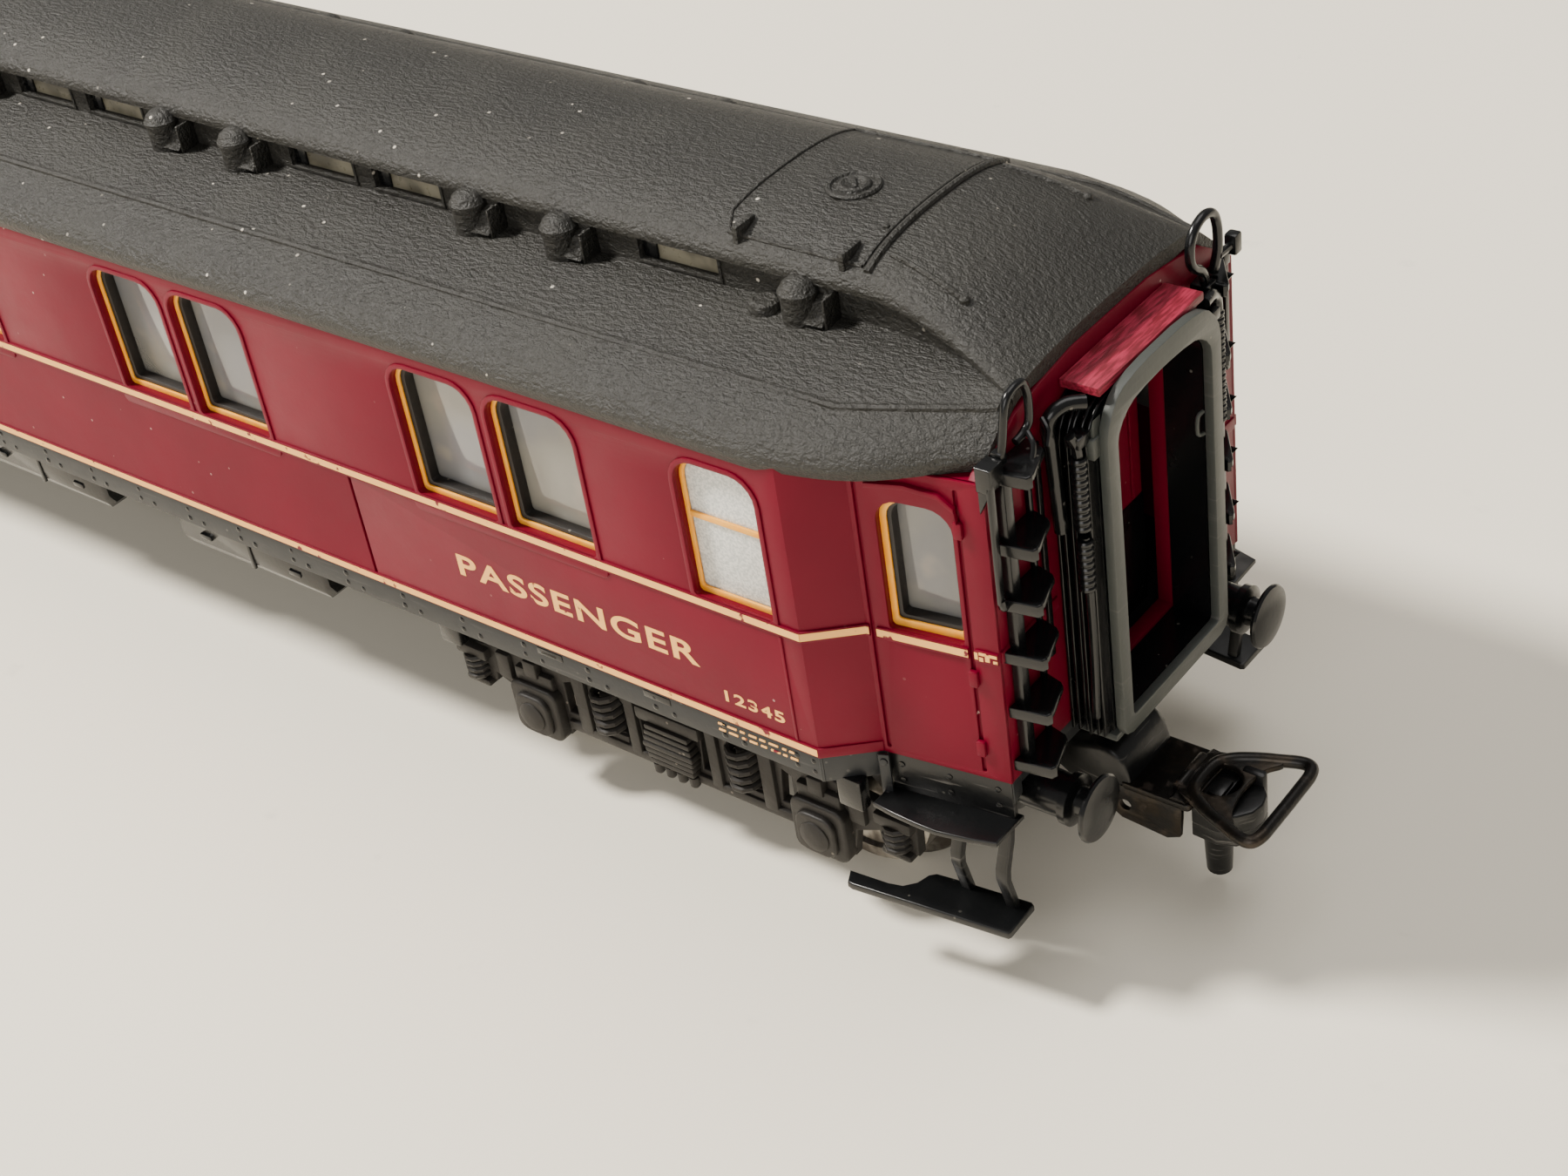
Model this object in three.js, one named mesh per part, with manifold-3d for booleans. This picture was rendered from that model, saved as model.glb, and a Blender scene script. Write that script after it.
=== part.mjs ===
// H0 scale (1:87) model passenger coach with a clerestory roof: body, roof, glazing, underframe,
// gangways, end fittings, two bogies with turning wheelsets, and two loop couplers.
//
// Frame: millimetres, +Z up, z = 0 is the rail head plane under the wheel flanges, +X is the front
// end and -Y is the right-hand side. The origin is under the middle of the coach.

import * as THREE from "three";
import { mergeVertices } from "three/addons/utils/BufferGeometryUtils.js";
import Module from "manifold-3d";

const wasm = await Module();
wasm.setup();

// ---- Driving dimensions ------------------------------------------------------------------------

const LENGTH_OVER_BUFFERS = 234;
const BUFFER_FACE = LENGTH_OVER_BUFFERS / 2;
const BODY_END = BUFFER_FACE - 4.15;
const DOOR_CORNER = BODY_END - 8.1;
const SIDE_CORNER = BODY_END - 11;

const BODY_HALF_WIDTH = 16.65;
const DOOR_HALF_WIDTH = 14.25;
const END_HALF_WIDTH = 13.1;
const WALL = 1.0;
const GAP = 0.1;

const BODY_BOTTOM = 15.9;
const BODY_TOP = 36.5;

const WINDOW_BOTTOM = 26.0;
const WINDOW_TOP = 35.0;
const WINDOW_WIDTH = 7.0;
const MULLION = 1.1;
const PAIR_PITCH = 29.1;
const FIRST_PAIR = 79.15;
const PAIR_COUNT = 6;
const SMALL_WINDOW_CENTRE = 97.2;
const SMALL_WINDOW_WIDTH = 5.8;
const LONE_WINDOW_CENTRE = -84;

const EAVE_HALF_WIDTH = 17.0;
const CLERESTORY_HALF_WIDTH = 7.0;
const CLERESTORY_SILL = 40.1;
const UPPER_ROOF_EDGE = 42.4;
const ROOF_CROWN = 44.4;
const ROOF_SLOPE_START = 102.3;
const ROOF_SKIN = 1.2;

const SOLEBAR_BOTTOM = 14.0;
const FLOOR_UNDERSIDE = 15.0;
const SOLEBAR_THICKNESS = 1.2;

const BOGIE_CENTRE = 86.6;
const WHEELBASE = 24;
const FLANGE_RADIUS = 6.65;
const TREAD_RADIUS = 5.5;
const AXLE_HEIGHT = FLANGE_RADIUS;
const BACK_TO_BACK = 14.3;
const WHEEL_WIDTH = 2.8;
const AXLE_RADIUS = 0.75;
const WHEEL_BORE = 0.85;
const FRAME_INNER = 12.6;
const FRAME_OUTER = 13.8;
const PIVOT_SCREW_RADIUS = 1.15;
const RUNNING_GAP = 0.3;

const COUPLER_PIVOT = 102.2;
const LOOP_PIVOT_X = 116.6;
const LOOP_HEIGHT = 8.35;
const LOOP_WIRE_RADIUS = 0.45;

const BUFFER_SPACING = 20.1;
const BUFFER_HEIGHT = 13.3;

const ENDS = [{ end: "front", turn: 0 }, { end: "rear", turn: Math.PI }];
const SIDES = [{ side: "left", sign: 1 }, { side: "right", sign: -1 }];

// ---- Materials ---------------------------------------------------------------------------------

function finish(color, roughness, metalness = 0) {
  return new THREE.MeshStandardMaterial({ color, roughness, metalness });
}

const wineRed = finish(0x7c1c2b, 0.42);
const boardRed = finish(0x8a2330, 0.75);
const roofGrey = finish(0x3b3734, 0.5);
const chassisGrey = finish(0x26272a, 0.6);
const glossBlack = finish(0x0e0f10, 0.28);
const bogieGrey = finish(0x3a3735, 0.75);
const wheelSteel = finish(0x4a4846, 0.38, 1);
const burnishedSteel = finish(0x4b443d, 0.42, 1);
const ballastSteel = finish(0x7a7c80, 0.45, 1);
const fittingTan = finish(0x8b7355, 0.7);
const clearPlastic = finish(0xb9bec2, 0.12);

// ---- Solid helpers -----------------------------------------------------------------------------

// The same shape with each corner stored once.
function welded(geometry) {
  const bare = geometry.clone();
  bare.deleteAttribute("normal");
  bare.deleteAttribute("uv");
  return mergeVertices(bare, 1e-4);
}

function solid(geometry) {
  const merged = welded(geometry);
  return new wasm.Manifold(new wasm.Mesh({
    numProp: 3,
    vertProperties: merged.attributes.position.array,
    triVerts: new Uint32Array(merged.index.array),
  }));
}

function geometryOf(manifold) {
  const mesh = manifold.getMesh();
  const geometry = new THREE.BufferGeometry();
  geometry.setAttribute("position", new THREE.BufferAttribute(new Float32Array(mesh.vertProperties), 3));
  geometry.setIndex(new THREE.BufferAttribute(new Uint32Array(mesh.triVerts), 1));
  return geometry;
}

function join(first, ...others) {
  return others.reduce((whole, piece) => whole.add(solid(piece)), solid(first));
}

function cut(whole, ...tools) {
  return tools.reduce((rest, tool) => rest.subtract(solid(tool)), whole);
}

// A box from its two opposite corners.
function box(x0, x1, y0, y1, z0, z1) {
  const block = new THREE.BoxGeometry(x1 - x0, y1 - y0, z1 - z0);
  return block.translate((x0 + x1) / 2, (y0 + y1) / 2, (z0 + z1) / 2);
}

function shapeOf(points) {
  const outline = points.map(([a, b]) => new THREE.Vector2(a, b));
  if (THREE.ShapeUtils.isClockWise(outline)) outline.reverse();
  return new THREE.Shape(outline);
}

function extrude(points, depth) {
  return new THREE.ExtrudeGeometry(shapeOf(points), { depth, bevelEnabled: false, curveSegments: 4 });
}

// A plan outline (x, y) raised from z0 to z1.
function slab(points, z0, z1) {
  return extrude(points, z1 - z0).translate(0, 0, z0);
}

// A cross-section (y, z) run along X from x0 to x1.
function runAlongX(points, x0, x1) {
  const turned = new THREE.Matrix4().makeBasis(
    new THREE.Vector3(0, 1, 0), new THREE.Vector3(0, 0, 1), new THREE.Vector3(1, 0, 0));
  return extrude(points, x1 - x0).applyMatrix4(turned).translate(x0, 0, 0);
}

// A side view (x, z) run along Y from y0 to y1.
function runAlongY(points, y0, y1) {
  return extrude(points, y1 - y0).rotateX(Math.PI / 2).translate(0, y1, 0);
}

// A profile of (radius, place along the axis), turned about an axis parallel to Y.
function turnedAboutY(profile, segments, x, y, z) {
  const lathe = new THREE.LatheGeometry(profile.map(([r, t]) => new THREE.Vector2(r, t)), segments);
  return lathe.translate(x, y, z);
}

function turnedAboutZ(profile, segments, x, y) {
  return turnedAboutY(profile, segments, 0, 0, 0).rotateX(Math.PI / 2).translate(x, y, 0);
}

function turnedAboutX(profile, segments, y, z) {
  return turnedAboutY(profile, segments, 0, 0, 0).rotateZ(-Math.PI / 2).translate(0, y, z);
}

// A round wire bent along a smooth curve through the given points.
function wire(points, radius, steps) {
  const curve = new THREE.CatmullRomCurve3(points.map((p) => new THREE.Vector3(...p)), false, "centripetal");
  const section = new THREE.Shape().absarc(0, 0, radius, 0, 2 * Math.PI);
  return new THREE.ExtrudeGeometry(section, { steps, extrudePath: curve, curveSegments: 3 });
}

// Both halves of an outline that is symmetric about the second axis (a = 0).
function mirroredOutline(half) {
  const other = half.filter(([a]) => a !== 0).map(([a, b]) => [-a, b]).reverse();
  return [...half, ...other];
}

// The same piece on the other side of the coach: y changes sign and the faces turn round.
function flipSide(geometry) {
  const flipped = welded(geometry).scale(1, -1, 1);
  const order = flipped.index.array;
  for (let i = 0; i < order.length; i += 3) [order[i], order[i + 2]] = [order[i + 2], order[i]];
  return flipped;
}

// ---- The coach's group, and how pieces are put in it --------------------------------------------

const coach = new THREE.Group();

function place(parent, name, geometry, material) {
  const mesh = new THREE.Mesh(geometry, material);
  mesh.name = name;
  parent.add(mesh);
  return mesh;
}

// One piece at each end: drawn at the front and turned half round for the rear.
function placeAtEnds(kind, geometry, material) {
  for (const { end, turn } of ENDS) place(coach, `${end}_${kind}`, geometry, material).rotation.z = turn;
}

// One piece at each corner: drawn at the front right.
function placeAtCorners(kind, geometry, material) {
  const other = flipSide(geometry);
  for (const { end, turn } of ENDS) {
    for (const { side, sign } of SIDES) {
      const drawnSign = turn === 0 ? sign : -sign;
      const mesh = place(coach, `${end}_${side}_${kind}`, drawnSign < 0 ? geometry : other, material);
      mesh.rotation.z = turn;
    }
  }
}

// ---- Outlines shared by several pieces -----------------------------------------------------------

// Plan of the body, drawn in by a margin: full width, slanted corner, tapering door section.
function bodyPlan(margin) {
  const corners = [
    [BODY_END - margin, END_HALF_WIDTH - margin],
    [DOOR_CORNER, DOOR_HALF_WIDTH - margin],
    [SIDE_CORNER, BODY_HALF_WIDTH - margin],
  ];
  const left = mirroredOutline(corners);
  return [...left, ...left.map(([x, y]) => [x, -y]).reverse()];
}

const pairCentres = Array.from({ length: PAIR_COUNT }, (_, i) => FIRST_PAIR - i * PAIR_PITCH);

// Every window opening along the side as [centre, width].
const sideWindows = [
  ...pairCentres.flatMap((centre) => [-1, 1].map((half) => [
    centre + half * (WINDOW_WIDTH + MULLION) / 2, WINDOW_WIDTH])),
  [SMALL_WINDOW_CENTRE, SMALL_WINDOW_WIDTH],
  [-SMALL_WINDOW_CENTRE, SMALL_WINDOW_WIDTH],
  [LONE_WINDOW_CENTRE, WINDOW_WIDTH],
];

// ---- Body shell ----------------------------------------------------------------------------------

const END_WALL_TOP = [[13, 36.4], [11.6, 37.4], [9.6, 38.5], [5, 39.1], [0, 39.3]];

function tympanum(x0, x1, margin) {
  const half = END_WALL_TOP.map(([y, z]) => [y > 0 ? y + margin : 0, z + margin]);
  return runAlongX(mirroredOutline([[half[0][0], 35], ...half]), x0, x1);
}

function bodyShell() {
  const doorWindowCentre = DOOR_CORNER + 3.9;
  const doorWindowWidth = 4.6;
  const doorWindows = [doorWindowCentre, -doorWindowCentre].map((x) => [x, doorWindowWidth]);
  const outside = join(slab(bodyPlan(0), BODY_BOTTOM, BODY_TOP));
  const shell = cut(outside, slab(bodyPlan(WALL), BODY_BOTTOM - 1, BODY_TOP + 1));
  const openings = [...sideWindows, ...doorWindows].map(([centre, width]) => box(
    centre - width / 2, centre + width / 2, -20, 20, WINDOW_BOTTOM, WINDOW_TOP - 1));
  const ends = [1, -1].map((sign) => {
    const faces = [sign * (BODY_END - WALL), sign * BODY_END].sort((a, b) => a - b);
    return solid(tympanum(...faces, -0.1));
  });
  return ends.reduce((whole, end) => whole.add(end), cut(shell, ...openings));
}

place(coach, "body_shell", geometryOf(bodyShell()), wineRed);

// ---- Roof, with its clerestory and ventilators -----------------------------------------------------

const LOWER_ROOF_CROWN = 40.2;
const LOWER_ROOF_DROP = 0.5;
const UPPER_ROOF_DROP = 3.7;
const LOWER_ROOF = [
  [EAVE_HALF_WIDTH, BODY_TOP + GAP], [16.3, 37.7], [15, 38.5], [13.3, 39.2], [10, 39.8],
  [0, LOWER_ROOF_CROWN]];
const UPPER_ROOF = [
  [CLERESTORY_HALF_WIDTH, CLERESTORY_SILL - 0.6], [CLERESTORY_HALF_WIDTH, UPPER_ROOF_EDGE - 0.3],
  [7.6, UPPER_ROOF_EDGE - 0.2], [7.5, UPPER_ROOF_EDGE + 0.2], [4.5, ROOF_CROWN - 0.5], [0, ROOF_CROWN]];
const ROOF_PLAN_END = [
  [BODY_END - 0.2, 12.1], [BODY_END - 2.8, 13.6], [BODY_END - 5.6, 15.3], [BODY_END - 8, 16.1],
  [BODY_END - 10.6, 16.6], [BODY_END - 12.5, EAVE_HALF_WIDTH]];
const VENT_OFFSETS = [0.75, -6.8];
const CLERESTORY_WINDOW_OFFSETS = [-13.2, -21.1];
const END_CLERESTORY_WINDOW = 88.3;
const clerestoryWindows = [
  ...pairCentres.slice(0, -1).flatMap((centre) => CLERESTORY_WINDOW_OFFSETS.map((offset) => centre + offset)),
  END_CLERESTORY_WINDOW, -END_CLERESTORY_WINDOW];
const END_VENT = 97.8;
const VENT_RADIUS = 1.15;
const VENT_CENTRE_Y = CLERESTORY_HALF_WIDTH + 0.9;

function roofPlan() {
  const left = mirroredOutline(ROOF_PLAN_END);
  return [...left, ...left.map(([x, y]) => [x, -y]).reverse()];
}

// The sloping ends of the roof, seen from the side, as a prism that the roof is cut down to.
function slopedEnds(crown, drop) {
  const half = [
    [BODY_END + 1, 30], [BODY_END + 1, crown - drop], [BODY_END - 2.4, crown - drop],
    [BODY_END - 4.8, crown - 0.55 * drop], [ROOF_SLOPE_START, crown + 0.3]];
  return runAlongY(mirroredOutline(half), -20, 20);
}

// A cross-section drawn in by the roof's skin, open at the bottom.
function insideOf(section, bottom) {
  return mirroredOutline(section.map(([y, z], i) => [
    y > 0 ? y - ROOF_SKIN : 0, i === 0 ? bottom : z - ROOF_SKIN]));
}

function ventilators() {
  const places = [...pairCentres.flatMap((c) => VENT_OFFSETS.map((d) => c + d)), END_VENT, -END_VENT];
  const profile = [[0, 39.2], [VENT_RADIUS, 39.2], [VENT_RADIUS, 42.1], [0, 42.1]];
  return places.flatMap((x) => [-1, 1].map((sign) => turnedAboutZ(profile, 6, x, sign * VENT_CENTRE_Y)));
}

function roof() {
  const innerEnd = BODY_END - 4;
  const lower = join(runAlongX(mirroredOutline(LOWER_ROOF), -BODY_END, BODY_END));
  const upper = join(runAlongX(mirroredOutline(UPPER_ROOF), -BODY_END, BODY_END));
  const outside = lower.intersect(solid(slopedEnds(LOWER_ROOF_CROWN, LOWER_ROOF_DROP)))
    .add(upper.intersect(solid(slopedEnds(ROOF_CROWN, UPPER_ROOF_DROP))));
  const trimmed = outside.intersect(solid(slab(roofPlan(), 30, 50)));
  const hollow = cut(
    trimmed,
    runAlongX(insideOf(LOWER_ROOF, 30), -innerEnd + 6, innerEnd - 6),
    runAlongX(insideOf(UPPER_ROOF, 38), -innerEnd + 12, innerEnd - 12),
    tympanum(BODY_END - WALL - GAP, BODY_END + 1, GAP),
    tympanum(-BODY_END - 1, -BODY_END + WALL + GAP, GAP),
  );
  const recesses = clerestoryWindows.flatMap((x) => [-1, 1].map((sign) => {
    const [near, far] = [CLERESTORY_HALF_WIDTH - 0.5, CLERESTORY_HALF_WIDTH + 1].map((y) => sign * y);
    return box(x - 3, x + 3, Math.min(near, far), Math.max(near, far), 40.4, 41.7);
  }));
  return ventilators().reduce((whole, vent) => whole.add(solid(vent)), cut(hollow, ...recesses));
}

place(coach, "roof", geometryOf(roof()), roofGrey);

// ---- Glazing, interior fitting and ballast ---------------------------------------------------------

const GLAZING_HALF_LENGTH = SIDE_CORNER - 1.3;
const GLAZING_OUTER = BODY_HALF_WIDTH - WALL - 0.15;
const GLAZING_INNER = GLAZING_OUTER - 0.8;

for (const { side, sign } of SIDES) {
  const [near, far] = [sign * GLAZING_INNER, sign * GLAZING_OUTER].sort((a, b) => a - b);
  const strip = box(-GLAZING_HALF_LENGTH, GLAZING_HALF_LENGTH, near, far, WINDOW_BOTTOM - 1, WINDOW_TOP + 1);
  place(coach, `${side}_glazing`, strip, clearPlastic);
}

const BALLAST_TOP = BODY_BOTTOM + 0.6;
place(coach, "ballast_weight", box(-60, 60, -11, 11, BODY_BOTTOM, BALLAST_TOP), ballastSteel);

// Floor, corridor wall along the left side, and a partition between each two compartments.
function interiorFitting() {
  const floorTop = BALLAST_TOP + 0.9;
  const partitionTop = 34;
  const corridorWall = 5.6;
  const halfLength = 100;
  const floor = box(-halfLength, halfLength, -14.3, 14.3, BALLAST_TOP + GAP, floorTop);
  const wall = box(-halfLength, halfLength, corridorWall - 0.8, corridorWall, floorTop - 0.2, partitionTop);
  const partitions = Array.from({ length: 2 * PAIR_COUNT + 2 }, (_, i) => {
    const x = FIRST_PAIR + PAIR_PITCH / 2 - i * PAIR_PITCH / 2;
    return box(x - 0.4, x + 0.4, -14, corridorWall - 0.4, floorTop - 0.2, partitionTop);
  });
  return join(floor, wall, ...partitions);
}

place(coach, "interior_fitting", geometryOf(interiorFitting()), fittingTan);

// ---- Underframe, and the equipment boxes under it ----------------------------------------------------

const BOSS_RADIUS = 3.2;
const BOSS_BOTTOM = 12.6;
const HEADSTOCK_FACE = BODY_END - 1.7;

function underframe() {
  const tray = cut(
    join(slab(bodyPlan(0.1), SOLEBAR_BOTTOM, BODY_BOTTOM - 0.05)),
    slab(bodyPlan(SOLEBAR_THICKNESS), SOLEBAR_BOTTOM - 1, FLOOR_UNDERSIDE),
  );
  const bosses = [1, -1].map((sign) => {
    const profile = [[0, BOSS_BOTTOM], [BOSS_RADIUS, BOSS_BOTTOM], [BOSS_RADIUS, 15.2], [0, 15.2]];
    return turnedAboutZ(profile, 16, sign * BOGIE_CENTRE, 0);
  });
  const headstocks = [1, -1].map((sign) => {
    const [near, far] = [sign * (HEADSTOCK_FACE - 1.5), sign * HEADSTOCK_FACE].sort((a, b) => a - b);
    return box(near, far, -12.2, 12.2, 11.9, 15.2);
  });
  const screwHoles = [1, -1].map((sign) => {
    const profile = [[0, 12], [1.3, 12], [1.3, 15.6], [0, 15.6]];
    return turnedAboutZ(profile, 12, sign * BOGIE_CENTRE, 0);
  });
  const shankClearance = [[1, 1], [1, -1], [-1, 1], [-1, -1]].map(([end, side]) => {
    const [near, far] = [end * HEADSTOCK_FACE, end * (BODY_END + 1)].sort((a, b) => a - b);
    const y = side * BUFFER_SPACING / 2;
    return box(near, far, y - 1.5, y + 1.5, BUFFER_HEIGHT - 1.5, BUFFER_HEIGHT + 1.5);
  });
  const whole = [...bosses, ...headstocks].reduce((sum, piece) => sum.add(solid(piece)), tray);
  return cut(whole, ...screwHoles, ...shankClearance);
}

place(coach, "underframe", geometryOf(underframe()), chassisGrey);

const EQUIPMENT_BOXES = [[41.7, 57.7], [17.2, 33.2]];

function equipmentBoxes() {
  const outer = -16.1;
  const inner = -9.5;
  const [top, bottom] = [SOLEBAR_BOTTOM - 0.05, 11.2];
  const furthest = EQUIPMENT_BOXES[0][1];
  const rail = box(-furthest, furthest, inner - 1.2, inner, top - 0.5, top);
  const boxes = EQUIPMENT_BOXES.flatMap(([x0, x1]) => [
    box(x0, x1, outer, inner, bottom, top), box(-x1, -x0, outer, inner, bottom, top)]);
  return geometryOf(join(rail, ...boxes));
}

place(coach, "right_equipment_boxes", equipmentBoxes(), glossBlack);
place(coach, "left_equipment_boxes", flipSide(equipmentBoxes()), glossBlack);

// ---- Gangway: bellows, frame and canopy board ---------------------------------------------------------

// An arch outline (y, z) of the given half width, from its foot to its crown.
function arch(halfWidth, bottom, shoulder, crown) {
  return mirroredOutline([
    [halfWidth, bottom], [halfWidth, shoulder], [halfWidth - 0.9, crown - 0.4], [halfWidth - 2.4, crown],
    [0, crown]]);
}

const DOORWAY = arch(5.0, 16.5, 35.9, 37.1);
const BELLOWS_START = BODY_END + 0.05;
const FRAME_START = BODY_END + 2.65;
const FRAME_FACE = BODY_END + 3.25;

function ring(outer, x0, x1) {
  return cut(join(runAlongX(outer, x0, x1)), runAlongX(DOORWAY, x0 - 1, x1 + 1));
}

function bellows() {
  const foldCount = 3;
  const foldPitch = (FRAME_START - 0.05 - BELLOWS_START) / foldCount;
  const core = ring(arch(6.0, 15.5, 36.2, 37.8), BELLOWS_START, FRAME_START - 0.05);
  const folds = Array.from({ length: foldCount }, (_, i) => {
    const x = BELLOWS_START + i * foldPitch;
    return ring(arch(6.8, 15.3, 36.5, 38.1), x + 0.2, x + foldPitch - 0.2);
  });
  return folds.reduce((whole, fold) => whole.add(fold), core);
}

placeAtEnds("gangway_bellows", geometryOf(bellows()), glossBlack);
placeAtEnds(
  "gangway_frame", geometryOf(ring(arch(6.1, 15.15, 36.3, 38.7), FRAME_START, FRAME_FACE)), glossBlack);
placeAtEnds("canopy_board", box(BELLOWS_START, FRAME_START - 0.1, -5.6, 5.6, 38.2, 38.8), boardRed);

// ---- End fittings, drawn at the front right corner ------------------------------------------------------

const LADDER_STEPS = [17.4, 21.3, 25.2, 28.9, 32.6, 37.2];

function endLadder() {
  const post = box(BODY_END + 0.1, BODY_END + 0.9, -12.1, -11.4, 16.3, 36.8);
  const treads = LADDER_STEPS.map((z) => slab([
    [BODY_END + 0.1, -12.5], [BODY_END + 2.3, -12.2], [BODY_END + 1.7, -9.4], [BODY_END + 0.1, -9.0],
  ], z - 0.5, z));
  return geometryOf(join(post, ...treads));
}

function bufferProfile() {
  const rear = HEADSTOCK_FACE + 0.05;
  return [
    [0, rear], [1.35, rear], [1.35, BUFFER_FACE - 2], [1.6, BUFFER_FACE - 1.9], [1.6, BUFFER_FACE - 1.5],
    [0.9, BUFFER_FACE - 1.4], [0.9, BUFFER_FACE - 0.7], [2.1, BUFFER_FACE - 0.6], [2.0, BUFFER_FACE - 0.2],
    [0, BUFFER_FACE]];
}

function grabRail() {
  const foot = [BODY_END + 0.35, -13.0];
  const reach = [BODY_END + 1.1, -13.25];
  return wire([
    [...foot, 28.8], [...reach, 29.2], [...reach, 31.5], [...reach, 33.7], [...reach, 35.7], [...foot, 36.1],
  ], 0.25, 10);
}

function conduit() {
  const x = BODY_END + 1.1;
  return wire([
    [x - 0.4, -8.5, 36.9], [x, -8.0, 38.0], [x, -7.45, 39.3], [x, -7.4, 40.8], [x, -8.3, 41.7],
    [x, -9.2, 40.9], [x, -9.5, 39.3], [x, -10.2, 38.6], [x - 0.1, -11.6, 38.5],
  ], 0.35, 16);
}

placeAtCorners("end_ladder", endLadder(), glossBlack);
placeAtCorners("buffer", turnedAboutX(bufferProfile(), 12, -BUFFER_SPACING / 2, BUFFER_HEIGHT), glossBlack);
placeAtCorners("grab_rail", grabRail(), glossBlack);
placeAtCorners("conduit", conduit(), glossBlack);

// ---- Door steps: upper tread with its apron, two bent hangers and the lower tread -----------------------

const UPPER_TREAD_TOP = 13.1;
const LOWER_TREAD_TOP = 6.3;
const HANGER_STARTS = [107.9, 111.0];

function doorSteps() {
  const upper = slab([
    [DOOR_CORNER, -14.0], [DOOR_CORNER, -15.85], [107, -16.05], [109.4, -16.0], [BODY_END, -15.25],
    [BODY_END + 0.1, -12.45], [109, -12.7],
  ], UPPER_TREAD_TOP - 0.5, UPPER_TREAD_TOP);
  const apron = slab([
    [DOOR_CORNER + 0.2, -14.1], [BODY_END - 0.1, -13.0], [BODY_END - 0.1, -12.5], [DOOR_CORNER + 0.2, -13.6],
  ], UPPER_TREAD_TOP - 0.1, SOLEBAR_BOTTOM - 0.05);
  const lower = slab([
    [102.0, -15.6], [102.5, -16.7], [113.4, -15.6], [113.4, -12.7], [106.9, -13.4], [106.1, -14.6],
    [105, -15.3],
  ], LOWER_TREAD_TOP - 0.6, LOWER_TREAD_TOP);
  const hangers = HANGER_STARTS.map((x) => runAlongX([
    [-12.75, 12.7], [-13.45, 12.7], [-13.45, 9.2], [-13.95, 6.0], [-13.25, 6.0], [-12.75, 9.2],
  ], x, x + 1.1));
  return geometryOf(join(upper, apron, lower, ...hangers));
}

placeAtCorners("door_steps", doorSteps(), glossBlack);

// ---- Bogies ----------------------------------------------------------------------------------------------

const BOLSTER_BOTTOM = 9.5;
const BOLSTER_TOP = 12.3;

// Side view of a side frame about the bogie's centre: bars, axlebox guards and end spring brackets.
const SIDE_FRAME = mirroredOutline([
  [0, 5.9], [9.6, 5.9], [9.9, 4.8], [14.2, 4.8], [14.4, 7.6], [17, 8.2], [17, 6.9], [19.2, 6.9],
  [19.2, 9.9], [14.6, 10.4], [9, 11.2], [0, 11.2]]);

function bogieFrame() {
  const side = (sign) => {
    const [near, far] = [sign * FRAME_INNER, sign * FRAME_OUTER].sort((a, b) => a - b);
    const [boxNear, boxFar] = [sign * (FRAME_OUTER - 0.2), sign * (FRAME_OUTER + 0.9)].sort((a, b) => a - b);
    const axleboxes = [-1, 1].map((end) => box(
      end * WHEELBASE / 2 - 1.9, end * WHEELBASE / 2 + 1.9, boxNear, boxFar, 4.9, 8.6));
    const leafSpring = box(-1.9, 1.9, boxNear, boxFar, 5.7, 9.9);
    return [runAlongY(SIDE_FRAME, near, far), ...axleboxes, leafSpring];
  };
  const bolster = box(-3, 3, -FRAME_INNER - 0.2, FRAME_INNER + 0.2, BOLSTER_BOTTOM, BOLSTER_TOP - 1.1);
  const centrePad = box(-4, 4, -4, 4, BOLSTER_BOTTOM, BOLSTER_TOP);
  const tongue = box(3, COUPLER_PIVOT - BOGIE_CENTRE + 2, -2, 2, BOLSTER_BOTTOM, 10.7);
  const pin = [[0, 6.2], [0.8, 6.2], [0.8, 9.7], [0, 9.7]];
  const couplerPin = turnedAboutZ(pin, 12, COUPLER_PIVOT - BOGIE_CENTRE, 0);
  const screwHole = turnedAboutZ([[0, 9], [1.5, 9], [1.5, 13], [0, 13]], 12, 0, 0);
  const cups = [-1, 1].flatMap((sign) => [-1, 1].map((end) => {
    const profile = [[0, sign * 12], [1.05, sign * 12], [0.25, sign * 13.45], [0, sign * 13.45]];
    if (sign < 0) profile.reverse();
    return turnedAboutY(profile, 12, end * WHEELBASE / 2, 0, AXLE_HEIGHT);
  }));
  const whole = join(bolster, centrePad, tongue, couplerPin, ...side(1), ...side(-1));
  return geometryOf(cut(whole, screwHole, ...cups));
}

function pivotScrew() {
  const headBottom = 8.2;
  const headTop = BOLSTER_BOTTOM - RUNNING_GAP;
  return turnedAboutZ([
    [0, headBottom], [2.2, headBottom], [2.2, headTop], [PIVOT_SCREW_RADIUS, headTop],
    [PIVOT_SCREW_RADIUS, 15.5], [0, 15.5]], 12, 0, 0);
}

function axle() {
  const tip = 13.1;
  const shoulder = 11.9;
  const profile = [[0, -tip], [AXLE_RADIUS, -shoulder], [AXLE_RADIUS, shoulder], [0, tip]];
  return turnedAboutY(profile, 10, 0, 0, 0);
}

// A wheel whose back face is at the given side of the gauge, with its flange, tread and bore.
function wheel(sign) {
  const back = BACK_TO_BACK / 2;
  const rim = [
    [WHEEL_BORE, 0], [FLANGE_RADIUS - 0.1, 0], [FLANGE_RADIUS, 0.35], [TREAD_RADIUS + 0.2, 1.0],
    [TREAD_RADIUS, WHEEL_WIDTH], [WHEEL_BORE, WHEEL_WIDTH], [WHEEL_BORE, 0]];
  const profile = rim.map(([r, t]) => [r, sign * (back + t)]);
  if (sign < 0) profile.reverse();
  return turnedAboutY(profile, 20, 0, 0, 0);
}

const frameShape = bogieFrame();
const screwShape = pivotScrew();
const axleShape = axle();

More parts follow.
